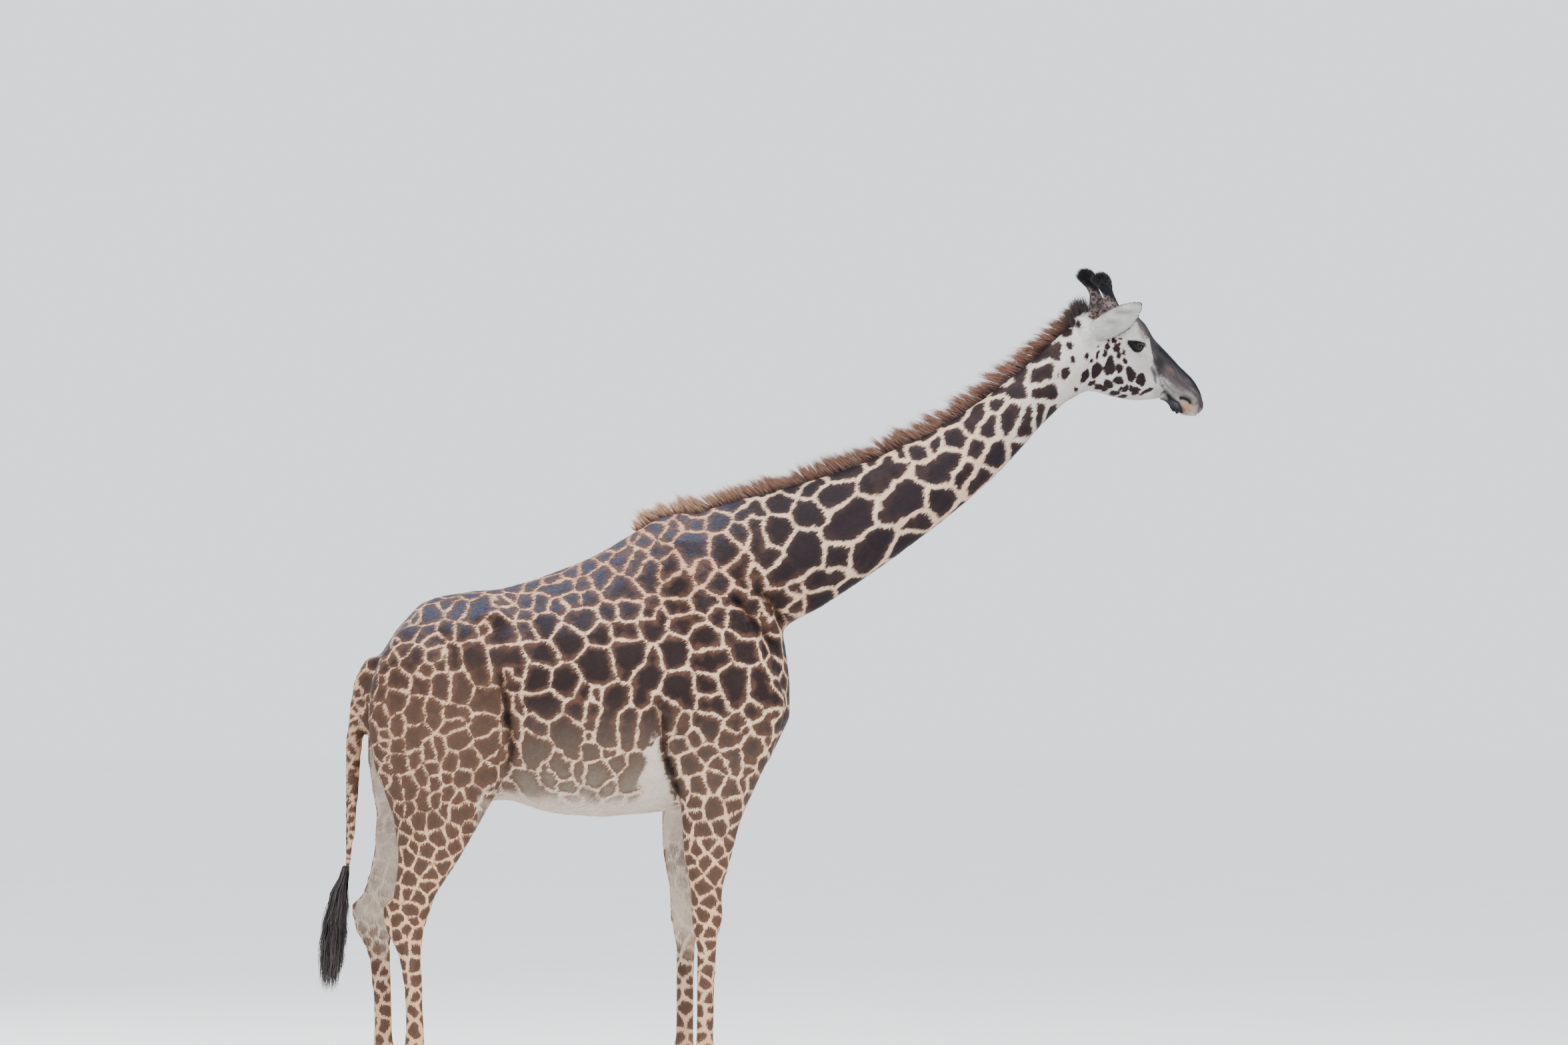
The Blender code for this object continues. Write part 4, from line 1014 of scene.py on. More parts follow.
    def wander(self):
        """A slow wander of the borders, so that no patch has straight sides."""
        drawn = draws(5)
        shift = np.zeros_like(self.points)
        for reach, size, waves in ((0.26, 0.0030, 5), (0.11, 0.0022, 6)):
            for _ in range(waves):
                wave = drawn.normal(size=3)
                wave *= 2 * math.pi / reach / np.linalg.norm(wave)
                push = drawn.normal(size=3)
                push *= size / np.linalg.norm(push)
                shift += np.sin(self.points @ wave + drawn.uniform(0, 6.28))[:, None] * push
        return shift * (1 - self.head)[:, None]

    def set_seeds(self):
        """Middles of the patches: those of the table on the right side, their like on the left, then
        more wherever the coat is still bare."""
        places, reaches, patches = [], [], []
        for number, row in enumerate(PATCHES):
            for x, z, reach in zip(row[0::3], row[1::3], row[2::3]):
                hit = self.from_right(x / 1000, z / 1000)
                if hit is not None:
                    places.append(np.array(hit))
                    reaches.append(reach / 1000)
                    patches.append(number)
        own = len(places)
        for k in range(own):
            plan = plan_of([places[k]])[0]
            shift = (0.075 + 0.02 * math.sin(5 * plan[2]), 0, -0.045 + 0.02 * math.sin(4 * plan[0]))
            other_side = Vector(posed_of([plan * (1, -1, 1) + shift])[0])
            mirrored = np.array(self.skin_tree.find_nearest(other_side)[0])
            gaps = np.linalg.norm(np.array(places[:own]) - mirrored, axis=1) - reaches[:own]
            if plan[1] < -0.02 and gaps.min() > reaches[k] + 0.01:
                places.append(mirrored)
                reaches.append(reaches[k])
                patches.append(patches[k] + MIRRORED)
        count = len(places)
        places = np.array(places + [np.zeros(3)] * MOST_FILLED)
        reaches = np.array(reaches + [0.0] * MOST_FILLED)
        patches = np.array(patches + list(range(FILLED, FILLED + MOST_FILLED)))
        bare = np.nonzero((self.head < 0.5) & (self.ear < 0.5))[0]
        size = 0.40 * self.pitch * draws(4).uniform(0.75, 1.15, len(self.pitch))
        wanted = size + 0.85 * self.net
        for k in draws(3).permutation(bare):
            gaps = np.sqrt(((places[:count] - self.points[k]) ** 2).sum(1)) - reaches[:count]
            if gaps.min() > wanted[k]:
                places[count], reaches[count] = self.points[k], size[k]
                count += 1
        self.seeds, self.reaches, self.patches = places[:count], reaches[:count], patches[:count]

    def choose_seeds(self):
        """For each face, the two middles of its own patch and the three nearest of other patches."""
        tree = kdtree.KDTree(len(self.seeds))
        for k, place in enumerate(self.seeds):
            tree.insert(Vector(place), k)
        tree.balance()
        middles = self.place[self.faces].mean(1)
        nearest = np.zeros((len(middles), 20), np.int32)
        for k, middle in enumerate(middles.tolist()):
            nearest[k] = [found[1] for found in tree.find_n(middle, 20)]
        rows = np.arange(len(middles))
        gaps = np.linalg.norm(self.seeds[nearest] - middles[:, None], axis=2) - self.reaches[nearest]
        nearest = np.take_along_axis(nearest, np.argsort(gaps, axis=1), 1)
        own = self.patches[nearest] == self.patches[nearest[:, :1]]
        second = np.where(own[:, 1:].any(1), own[:, 1:].argmax(1) + 1, 0)
        self.chosen = np.zeros((len(middles), 5), np.int32)
        self.chosen[:, 0] = nearest[:, 0]
        self.chosen[:, 1] = nearest[rows, second]
        others = ~own
        for slot in (2, 3, 4):
            first = others.argmax(1)
            self.chosen[:, slot] = nearest[rows, first]
            others[rows, first] = False

    def border_at(self, faces, places):
        """How far from its patch's border each place is, from the middles of its face."""
        """How far from its patch's border each place is, with the middles of its face."""
        chosen = self.chosen[faces]
        gaps = np.linalg.norm(self.seeds[chosen] - places[:, None], axis=2) - self.reaches[chosen]
        return abs(gaps[:, 2:].min(1) - gaps[:, :2].min(1)) / 2


# ---------------------------------------------------------------- materials


class Nodes:
    """Short ways to place and join shader nodes in one tree."""

    def __init__(self, tree):
        self.tree = tree

    def add(self, kind, **settings):
        node = self.tree.nodes.new(kind)
        for name, value in settings.items():
            setattr(node, name, value)
        return node

    def feed(self, socket, value):
        if isinstance(value, bpy.types.NodeSocket):
            self.tree.links.new(value, socket)
        else:
            socket.default_value = value

    def math(self, operation, a, b=0.0, clamp=False):
        node = self.add("ShaderNodeMath", operation=operation, use_clamp=clamp)
        self.feed(node.inputs[0], a)
        self.feed(node.inputs[1], b)
        return node.outputs[0]

    def span(self, value, low, high, out_low=0.0, out_high=1.0):
        node = self.add("ShaderNodeMapRange", interpolation_type="SMOOTHSTEP")
        for socket, given in zip(node.inputs, (value, low, high, out_low, out_high)):
            self.feed(socket, given)
        return node.outputs[0]

    def mix(self, share, a, b, way="MIX"):
        node = self.add("ShaderNodeMix", data_type="RGBA", blend_type=way)
        for socket, given in ((node.inputs[0], share), (node.inputs[6], a), (node.inputs[7], b)):
            self.feed(socket, given)
        return node.outputs[2]

    def noise(self, place, scale, detail=2.0):
        node = self.add("ShaderNodeTexNoise")
        self.feed(node.inputs["Vector"], place)
        node.inputs["Scale"].default_value = scale
        node.inputs["Detail"].default_value = detail
        return node.outputs["Fac"]

    def wobble(self, place, scale, detail, size):
        """Noise about zero."""
        return self.math("MULTIPLY", self.math("SUBTRACT", self.noise(place, scale, detail), 0.5), size)

    def read(self, name):
        return self.add("ShaderNodeAttribute", attribute_name=name)

    def object_place(self):
        return self.add("ShaderNodeTexCoord").outputs["Object"]

    def gap(self, a, b):
        node = self.add("ShaderNodeVectorMath", operation="DISTANCE")
        self.feed(node.inputs[0], a)
        self.feed(node.inputs[1], b)
        return node.outputs["Value"]

    def parts(self, vector):
        node = self.add("ShaderNodeSeparateXYZ")
        self.feed(node.inputs[0], vector)
        return node.outputs

    def grey(self, value):
        node = self.add("ShaderNodeCombineColor")
        for socket in node.inputs:
            self.feed(socket, value)
        return node.outputs[0]

    def times(self, a, b):
        return self.mix(1.0, a, b, "MULTIPLY")

    def bump(self, shader, height, strength, distance):
        node = self.add("ShaderNodeBump")
        node.inputs["Strength"].default_value = strength
        node.inputs["Distance"].default_value = distance
        self.feed(node.inputs["Height"], height)
        self.feed(shader["Normal"], node.outputs[0])


def new_group(name, inputs, outputs):
    group = bpy.data.node_groups.new(name, "ShaderNodeTree")
    for label, kind in inputs:
        group.interface.new_socket(label, in_out="INPUT", socket_type="NodeSocket" + kind)
    for label, kind in outputs:
        group.interface.new_socket(label, in_out="OUTPUT", socket_type="NodeSocket" + kind)
    nodes = Nodes(group)
    return group, nodes, nodes.add("NodeGroupInput").outputs, nodes.add("NodeGroupOutput").inputs


def patch_border_group():
    """How far inside its patch a place is, from the middles and reaches of the patches about it."""
    inputs = [("Place", "Vector")]
    for k in range(5):
        inputs += [("Middle %d" % k, "Vector"), ("Reach %d" % k, "Float")]
    group, n, given, result = new_group("patch border", inputs, [("Border", "Float")])
    gaps = []
    for k in range(5):
        to_middle = n.gap(given["Place"], given["Middle %d" % k])
        gaps.append(n.math("SUBTRACT", to_middle, given["Reach %d" % k]))
    own = n.math("MINIMUM", gaps[0], gaps[1])
    other = n.math("MINIMUM", n.math("MINIMUM", gaps[2], gaps[3]), gaps[4])
    n.feed(result["Border"], n.math("MULTIPLY", n.math("ABSOLUTE", n.math("SUBTRACT", other, own)), 0.5))
    return group


def coat_colour_group():
    """The coat's colour at a place: dark patches with ragged edges on a pale net, and small spots."""
    inputs = [(name, "Float") for name in ("Border", "Net", "Spot", "Fade", "Shade", "Along")]
    inputs += [("Place", "Vector"), ("Ground", "Color"), ("Patch", "Color")]
    group, n, given, result = new_group(
        "coat colour", inputs, [("Color", "Color"), ("Roughness", "Float"), ("Height", "Float")]
    )
    place = given["Place"]
    ragged = n.wobble(place, 34, 2, 0.020)
    hairy = n.wobble(place, 150, 2, 0.0125)
    fine = n.wobble(place, 520, 1, 0.0065)
    edge = n.math("SUBTRACT", given["Border"], n.math("MULTIPLY", given["Net"], 0.5))
    edge = n.math("ADD", n.math("ADD", edge, ragged), n.math("ADD", hairy, fine))
    frayed = n.math("MULTIPLY", n.math("ADD", hairy, fine), 0.30)
    spot = n.math("ADD", n.math("ADD", given["Spot"], n.wobble(place, 75, 2, 0.010)), frayed)
    inside = n.math("MAXIMUM", n.span(edge, -0.0016, 0.0028), n.span(spot, -0.0010, 0.0018))
    fade = n.math("ADD", given["Fade"], n.wobble(place, 5.5, 3, 0.6))
    shown = n.span(n.math("ADD", fade, n.math("MULTIPLY", hairy, 22)), 0.12, 0.62)
    inside = n.math("MULTIPLY", inside, shown)
    deep = n.math("SUBTRACT", given["Fade"], 1.0, clamp=True)
    paler = n.math("SUBTRACT", 1.0, n.math("MULTIPLY", deep, 0.68))
    lobes = n.math("MULTIPLY", n.wobble(place, 19, 2, 0.045), paler)
    heart = n.span(n.math("ADD", edge, lobes), 0.001, 0.026)
    heart = n.math("MAXIMUM", heart, n.span(spot, 0.0005, 0.0045))
    rim = n.mix(n.math("MULTIPLY", paler, 0.66), given["Patch"], (*PATCH_RIM, 1))
    patch = n.mix(n.math("MULTIPLY", heart, 0.94), rim, given["Patch"])
    wear = n.math("MULTIPLY", n.noise(place, 13, 2), 0.25)
    patch = n.mix(wear, patch, n.times(patch, PATCH_WORN))
    stain = n.span(n.noise(place, 9, 3), 0.35, 0.75, 0, 0.32)
    ground = n.mix(stain, given["Ground"], n.times(given["Ground"], NET_STAINED))
    colour = n.mix(inside, ground, patch)
    strands = n.wobble(place, 900, 1, 0.35)
    light = n.math("ADD", n.math("MULTIPLY", n.math("SUBTRACT", given["Shade"], 0.5), 0.34), strands)
    light = n.math("ADD", n.math("ADD", light, 0.93), n.math("MULTIPLY", given["Along"], 0.16))
    height = n.math("ADD", n.noise(place, 420, 2), n.math("MULTIPLY", n.noise(place, 60, 2), 1.5))
    n.feed(result["Color"], n.times(colour, n.grey(light)))
    n.feed(result["Roughness"], n.span(inside, 0.0, 1.0, 0.66, 0.50))
    n.feed(result["Height"], height)
    return group


def principled(name, roughness=0.5, **constants):
    material = bpy.data.materials.new(name)
    material.use_nodes = True
    nodes = Nodes(material.node_tree)
    shader = material.node_tree.nodes["Principled BSDF"]
    shader.inputs["Roughness"].default_value = roughness
    for label, value in constants.items():
        shader.inputs[label.replace("_", " ")].default_value = value
    return material, nodes, shader.inputs


def use_group(n, group, **given):
    node = n.add("ShaderNodeGroup")
    node.node_tree = group
    for label, value in given.items():
        n.feed(node.inputs[label.replace("_", " ")], value)
    return node


def coat_materials():
    border_group, colour_group = patch_border_group(), coat_colour_group()
    made = []
    for name in ("skin coat", "coat hair"):
        material, n, shader = principled(
            name, Sheen_Weight=0.01, Sheen_Roughness=0.4, Specular_IOR_Level=0.07
        )
        border, net, spot = n.parts(n.read("measures").outputs["Vector"])
        shade, along, fade = n.parts(n.read("strand").outputs["Vector"])
        place = n.read("place").outputs["Vector"]
        if name == "skin coat":
            known = {}
            for k in range(5):
                middle = n.read("patch_%d" % k).outputs
                known["Middle_%d" % k], known["Reach_%d" % k] = middle["Vector"], middle["Alpha"]
            border = use_group(n, border_group, Place=place, **known).outputs[0]
        coat = use_group(
            n, colour_group, Border=border, Net=net, Spot=spot, Shade=shade, Along=along, Fade=fade,
            Place=place, Ground=n.read("ground").outputs["Color"], Patch=n.read("patch").outputs["Color"],
        ).outputs
        n.feed(shader["Base Color"], coat["Color"])
        n.feed(shader["Roughness"], coat["Roughness"])
        n.bump(shader, coat["Height"], 0.35, 0.002)
        made.append(material)
    return made


def hair_material(name, root, tip, roughness=0.45):
    """Long hair: from the root's colour to the tip's, each lock a little lighter or darker."""
    material, n, shader = principled(name, roughness, Sheen_Weight=0.05, Sheen_Roughness=0.4)
    shade, along, _ = n.parts(n.read("strand").outputs["Vector"])
    along = n.math("ADD", along, n.wobble(n.object_place(), 40, 2, 0.4))
    colour = n.mix(n.span(along, 0.1, 1.0), (*root, 1), (*tip, 1))
    colour = n.times(colour, n.read("tint").outputs["Color"])
    light = n.math("ADD", n.math("MULTIPLY", shade, 0.7), 0.65)
    n.feed(shader["Base Color"], n.times(colour, n.grey(light)))
    return material


def hoof_material():
    """Dark horn with faint growth rings, worn paler in places and dusty at the ground."""
    material, n, shader = principled("hoof horn", 0.4)
    place = n.object_place()
    rings = n.add("ShaderNodeTexWave", wave_type="BANDS", bands_direction="Z")
    n.feed(rings.inputs["Vector"], place)
    for label, value in (("Scale", 42), ("Distortion", 3.5), ("Detail", 2), ("Detail Scale", 1.2)):
        rings.inputs[label].default_value = value
    worn = n.span(n.noise(place, 30, 4), 0.35, 0.75)
    colour = n.mix(worn, (0.022, 0.017, 0.014, 1), (0.075, 0.055, 0.042, 1))
    colour = n.mix(n.math("MULTIPLY", rings.outputs["Fac"], 0.12), colour, (0.110, 0.085, 0.065, 1))
    low = n.span(n.parts(place)[2], 0.045, 0.0)
    dust = n.math("MULTIPLY", low, n.span(n.noise(place, 55, 3), 0.3, 0.6))
    colour = n.mix(n.math("MULTIPLY", dust, 0.55), colour, (0.33, 0.25, 0.17, 1))
    n.feed(shader["Base Color"], colour)
    n.feed(shader["Roughness"], n.span(worn, 0, 1, 0.38, 0.62))
    n.bump(shader, n.math("ADD", rings.outputs["Fac"], n.noise(place, 140, 3)), 0.3, 0.0012)
    return material


def ossicone_material():
    """The horns' short-haired skin: brown and speckled at the foot, black at the top."""
    material, n, shader = principled("horn skin", 0.7, Sheen_Weight=0.02, Specular_IOR_Level=0.10)
    place = n.object_place()
    forward, _, height = n.parts(place)
    speckle = n.span(n.noise(place, 95, 2), 0.48, 0.56)
    colour = n.mix(speckle, (0.17, 0.130, 0.128, 1), (0.028, 0.024, 0.027, 1))
    slant = n.math("MULTIPLY", n.math("SUBTRACT", forward, HORN_X), BLACK_SLANT)
    level = n.math("ADD", n.math("ADD", height, slant), n.wobble(place, 60, 2, 0.03))
    black = n.span(level, BLACK_FROM + 0.002, BLACK_FROM + 0.026)
    n.feed(shader["Base Color"], n.mix(black, colour, (0.006, 0.006, 0.009, 1)))
    n.bump(shader, n.noise(place, 260, 3), 0.5, 0.002)
    return material


def eye_material():
    """A dark brown eye with a long level pupil, wet all over. The gaze attribute is forward, up, out."""
    material, n, shader = principled(
        "wet eye", 0.05, Coat_Weight=0.12, Coat_Roughness=0.02, Specular_IOR_Level=0.10
    )
    gaze = n.read("gaze").outputs["Vector"]
    forward, up, _ = n.parts(gaze)
    squares = n.math("ADD", n.math("MULTIPLY", forward, forward), n.math("MULTIPLY", up, up))
    from_axis = n.math("SQRT", squares)
    along = n.math("POWER", n.math("DIVIDE", forward, PUPIL_HALF_LENGTH), 2.0)
    upright = n.math("POWER", n.math("DIVIDE", up, PUPIL_HALF_HEIGHT), 2.0)
    pupil = n.math("SQRT", n.math("ADD", along, upright))
    fibres = n.noise(n.mix(0.85, gaze, (0, 0, 0, 1)), 900, 3)
    colour = n.mix(n.span(fibres, 0.3, 0.7), (0.004, 0.003, 0.003, 1), (0.011, 0.006, 0.004, 1))
    colour = n.mix(n.span(pupil, 0.85, 1.10), (0.002, 0.002, 0.003, 1), colour)
    colour = n.mix(n.span(from_axis, 0.0155, 0.0180), colour, (0.006, 0.005, 0.006, 1))
    colour = n.mix(n.span(from_axis, 0.0205, 0.0240), colour, (0.020, 0.014, 0.013, 1))
    n.feed(shader["Base Color"], colour)
    return material


# ---------------------------------------------------------------- pieces from arrays


def new_piece(name, points, faces, material, colours=None, vectors=None, uv=None):
    """A mesh of triangles with what its material reads, by point, and its map, by face corner."""
    mesh = bpy.data.meshes.new(name)
    mesh.vertices.add(len(points))
    fill(mesh.vertices, "co", points)
    mesh.loops.add(faces.size)
    fill(mesh.loops, "vertex_index", faces, np.int32)
    mesh.polygons.add(len(faces))
    fill(mesh.polygons, "loop_start", np.arange(0, faces.size, 3), np.int32)
    mesh.update(calc_edges=True)
    mesh.validate()
    obj = bpy.data.objects.new(name, mesh)
    bpy.context.scene.collection.objects.link(obj)
    shade_smooth(obj)
    dress(obj, material, colours, vectors, uv)
    return obj


def dress(obj, material, colours=None, vectors=None, uv=None):
    mesh = obj.data
    mesh.materials.clear()
    mesh.materials.append(material)
    for label, values in (vectors or {}).items():
        fill(mesh.attributes.new(label, "FLOAT_VECTOR", "POINT").data, "vector", values)
    for label, values in (colours or {}).items():
        opaque = np.concatenate([values, np.ones((len(values), 1))], 1)
        fill(mesh.attributes.new(label, "BYTE_COLOR", "POINT").data, "color", opaque)
    if uv is not None:
        fill(mesh.uv_layers.new(name="OFBake").data, "uv", uv)
    mesh.update()
    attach(obj, "root")


def dress_skin(skin, coat, material):
    count = len(coat.points)
    strand = np.stack([np.full(count, SKIN_SHADE), np.zeros(count), coat.fading], 1)
    dress(
        skin, material, colours={"ground": coat.ground, "patch": coat.patch},
        vectors={"place": coat.place, "measures": coat.measures, "strand": strand},
    )
    for k, chosen in enumerate(coat.chosen.T):
        made = skin.data.attributes.new("patch_%d" % k, "FLOAT_COLOR", "CORNER")
        values = np.concatenate([coat.seeds[chosen], coat.reaches[chosen, None]], 1)
        fill(made.data, "color", np.repeat(values, 3, 0))
    shade_smooth(skin)


def unwrap(skin):
    """Unwraps the skin's own shape, and returns each face corner's place on the map."""
    skin.data.uv_layers.new(name="OFBake")
    in_edit_mode(skin, bpy.ops.uv.smart_project, angle_limit=math.radians(66), island_margin=0.003)
    return listed(skin.data.uv_layers["OFBake"].data, "uv", 2, np.float32).reshape(-1, 3, 2)


# ---------------------------------------------------------------- the coat's tufts

# A tuft is a thin leaf: two points at the root, two at its middle and one at the tip. LEAF_RISE is
# how far each stands off the skin, as a share of the tuft's lift.
LEAF_ALONG = np.array([0.0, 0.0, 0.55, 0.55, 1.0])
LEAF_ACROSS = np.array([-0.5, 0.5, 0.42, -0.42, 0.0])
LEAF_RISE = np.array([-0.25, -0.25, 0.85, 0.85, 1.0])
LEAF_FACES = np.array([(0, 1, 2), (0, 2, 3), (3, 2, 4)])
# The size of a tuft's own small patch on the map.
TUFT_PATCH = 0.003
TUFT_STRAY, TUFT_UNEVEN, TUFT_LIFT, LEAST_LIFT = 0.22, (0.7, 1.25), (0.05, 0.16), 0.0004
TUFT_SLENDER, TUFT_NARROWEST, TUFT_WIDEST = 0.13, 0.0008, 0.0021
# The skin is as light as a tuft that is a little darker than most.
SKIN_SHADE = 0.42


def grow_tufts(coat, uv, name, share, count, material, drawn):
    """Scatters count tufts over the skin, by area and by share, which is given for each point."""
    corners = coat.points[coat.faces]
    cross = np.cross(corners[:, 1] - corners[:, 0], corners[:, 2] - corners[:, 0])
    area = np.linalg.norm(cross, axis=1) / 2
    chance = area * share[coat.faces].mean(1)
    face = drawn.choice(len(area), count, p=chance / chance.sum())
    a, b = drawn.random(count), drawn.random(count)
    flip = a + b > 1
    a[flip], b[flip] = 1 - a[flip], 1 - b[flip]
    weights = np.stack([1 - a - b, a, b], 1)
    ends = coat.faces[face]

    def at(values):
        return (values[ends] * weights.reshape(count, 3, *[1] * (values.ndim - 1))).sum(1)

    root, normal, lie, length = at(coat.points), at(coat.normals), at(coat.lie), at(coat.length)
    normal /= np.linalg.norm(normal, axis=1)[:, None]
    lie = lie + np.cross(normal, lie) * drawn.normal(0, TUFT_STRAY, count)[:, None]
    lie = unit(lie - normal * (lie * normal).sum(1)[:, None])
    across = np.cross(normal, lie)
    length = length * drawn.uniform(*TUFT_UNEVEN, count)
    lift = length * drawn.uniform(*TUFT_LIFT, count) + LEAST_LIFT
    width = np.clip(length * TUFT_SLENDER, TUFT_NARROWEST, TUFT_WIDEST) * drawn.uniform(*TUFT_UNEVEN, count)
    points = (
        root[:, None]
        + lie[:, None] * (length[:, None] * LEAF_ALONG)[..., None]
        + across[:, None] * (width[:, None] * LEAF_ACROSS)[..., None]
        + normal[:, None] * (lift[:, None] * LEAF_RISE)[..., None]
    )
    faces = LEAF_FACES[None] + len(LEAF_ALONG) * np.arange(count)[:, None, None]
    places = at(coat.place)
    measures = at(coat.measures)
    measures[:, 0] = coat.border_at(face, places)
    strand = [drawn.random(count)[:, None], LEAF_ALONG, at(coat.fading)[:, None]]
    strand = np.stack(np.broadcast_arrays(*strand), 2)
    middle = (uv[face] * weights[:, :, None]).sum(1)
    patch = np.stack([LEAF_ACROSS, LEAF_ALONG - 0.5], 1) * TUFT_PATCH

    def by_point(values):
        return np.repeat(values, len(LEAF_ALONG), 0)

    new_piece(
        name, points.reshape(-1, 3), faces.reshape(-1, 3), material,
        colours={"ground": by_point(at(coat.ground)), "patch": by_point(at(coat.patch))},
        vectors={"place": by_point(places), "measures": by_point(measures), "strand": strand},
        uv=middle[:, None] + patch[LEAF_FACES.ravel()],
    )


def coat_zones(coat):
    """Where each piece of coat grows and how thickly, by point, and how many tufts it has."""
    x, y, z = coat.plan.T
    right = (y < 0).astype(float)
    left = 1 - right
    bald = np.ones(len(x))
    for side in SIDES:
        a, b, c, reach = from_eye(coat.points, side)
        bald *= 1 - (reach < 0.06) * (c > 0) * eased(-0.0070, -0.0015, lid_gap(a, b))
    lips = to_line(coat.plan[:, [0, 2]], MOUTH)[0]
    bald *= 1 - (z > HEAD_ABOVE) * bell(lips, 0.004)
    nose = to_line(coat.plan[:, [0, 2]], NOSTRIL)[0]
    bald *= 1 - (z > HEAD_ABOVE) * bell(nose, 0.005) * (abs(y) > 0.012)
    finer = np.clip(0.010 / np.maximum(coat.length, 0.004), 1, 2.2)
    upper = coat.neck >= 0.5
    trunk = (coat.neck < 0.5) & (z > LEGS_BELOW) & (coat.tail < 0.5)
    head, neck = upper & (x >= HEAD_FROM), upper & (x < HEAD_FROM)
    fore, hind = trunk & (x >= FORE_FROM), trunk & (x < FORE_FROM)
    return [
        ("coat_head_right", head * right * bald * finer, 52000),
        ("coat_head_left", head * left * bald * finer, 52000),
        ("coat_neck_right", neck * right, 45000),
        ("coat_neck_left", neck * left, 45000),
        ("coat_forequarters_right", fore * right, 45000),
        ("coat_forequarters_left", fore * left, 45000),
        ("coat_hindquarters_right", hind * right, 45000),
        ("coat_hindquarters_left", hind * left, 45000),
        ("coat_legs", (z <= LEGS_BELOW) * 1.0 * (coat.tail < 0.5), 56000),
        ("coat_tail", coat.tail, 9000),
    ]


# ---------------------------------------------------------------- long hair

MANE_HAIRS, HORN_HAIRS, TAIL_LOCKS, NAPE_LOCKS, WHISKERS, LASHES = 25000, 9000, 1500, 1300, 240, 90
MANE_WIDTH, HORN_HAIR_WIDTH, TAIL_WIDTH, NAPE_WIDTH = 0.0016, 0.0011, 0.0042, 0.0015
WHISKER_WIDTH, LASH_WIDTH = 0.0007, 0.0011
MANE_HALF_WIDTH, MANE_LEAN = 0.0125, 0.46
# Hairs of the mane gather into locks, and locks into tufts, this far apart.
LOCK_PITCH, TUFT_PITCH, MOST_LOCKS = 0.015, 0.045, 700
# A line this long from the skin reaches past the mane's solid, whose edge it finds from outside.
PAST_MANE, SHORTEST_MANE = 0.4, 0.012
MANE_DARK, MANE_BLOND = (0.36, 0.25, 0.22), (0.98, 0.86, 0.74)
HORN_BLACK, HORN_BROWN, BLACK_FADES_OVER = (0.05, 0.05, 0.06), (0.62, 0.46, 0.42), 0.020


def bent(roots, directions, bends, lengths, steps=4):
    """Spines that leave the root along one direction and bend towards another."""
    t = np.linspace(0, 1, steps + 1)
    return (
        roots[:, None]
        + directions[:, None] * (lengths[:, None] * t)[..., None]
        + bends[:, None] * (lengths[:, None] * t**2)[..., None]
    )


def grow_locks(name, spine, widths, material, drawn, tints=None):
    """Flat locks that taper to a point, each along its own spine. One width may do for all."""
    count, steps = len(spine), spine.shape[1] - 1
    t = np.linspace(0, 1, steps + 1)
    widths = np.broadcast_to(widths, count)
    directions = spine[:, -1] - spine[:, 0]
    side = unit(np.cross(directions, drawn.normal(size=(count, 3))))
    half = widths[:, None] * 0.5 * (1 - t[:-1] ** 2.2)
    left = spine[:, :-1] - side[:, None] * half[..., None]
    right = spine[:, :-1] + side[:, None] * half[..., None]
    points = np.concatenate([np.stack([left, right], 2).reshape(count, -1, 3), spine[:, -1:]], 1)
    faces = []
    for k in range(steps - 1):
        faces += [(2 * k, 2 * k + 1, 2 * k + 3), (2 * k, 2 * k + 3, 2 * k + 2)]
    faces.append((2 * steps - 2, 2 * steps - 1, 2 * steps))
    faces = np.array(faces)
    per = 2 * steps + 1
    along = np.concatenate([np.repeat(t[:-1], 2), [1.0]])
    strand = np.stack([np.repeat(drawn.random(count), per), np.tile(along, count), np.zeros(count * per)], 1)
    tints = np.ones((count, 3)) if tints is None else tints
    across = np.concatenate([np.tile([-0.5, 0.5], steps), [0.0]])
    cell = np.stack([across, along - 0.5], 1) * TUFT_PATCH
    grid = math.ceil(math.sqrt(count))
    spot = np.stack([(np.arange(count) % grid + 0.5) / grid, (np.arange(count) // grid + 0.5) / grid], 1)
    uv = spot[:, None] + cell[faces.ravel()]
    whole = (faces[None] + per * np.arange(count)[:, None, None]).reshape(-1, 3)
    return new_piece(
        name, points.reshape(-1, 3), whole, material,
        colours={"tint": np.repeat(tints, per, 0)}, vectors={"strand": strand}, uv=uv,
    )


def smooth_copy(node, label, voxel, rounds):
    """A copy of a node with its facets evened out."""
    obj = remeshed([node], label, voxel)
    even_out(obj, rounds)
    shade_smooth(obj)
    return obj


def make_hooves(material):
    for leg in ("fore", "hind"):
        for side in SIDES:
            for claw in ("inner", "outer"):
                node = "hoof_%s_%s_%s" % (leg, side, claw)
                hoof = smooth_copy(node, node + "_horn", 0.0045, 6)
                points = points_of(hoof)
                points[:, 2] = np.maximum(points[:, 2], 0.0)
                set_points(hoof, points)
                dress(hoof, material)
                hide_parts(node)


def make_eyes(material):
    for side in SIDES:
        middle, forward, up, out = eye_frame(side)
        deselect_all()
        bpy.ops.mesh.primitive_uv_sphere_add(segments=48, ring_count=32, radius=EYE_RADIUS)
        ball = bpy.context.active_object
        ball.name = ball.data.name = "eyeball_" + side
        gaze = points_of(ball)
        gaze[:, 2] += 0.0016 * eased(0.0215, 0.0262, gaze[:, 2])
        set_points(ball, middle + gaze[:, :1] * forward + gaze[:, 1:2] * up + gaze[:, 2:] * out)
        in_edit_mode(ball, bpy.ops.mesh.normals_make_consistent, inside=False)
        shade_smooth(ball)
        dress(ball, material, vectors={"gaze": gaze})
        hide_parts("eye_" + side)


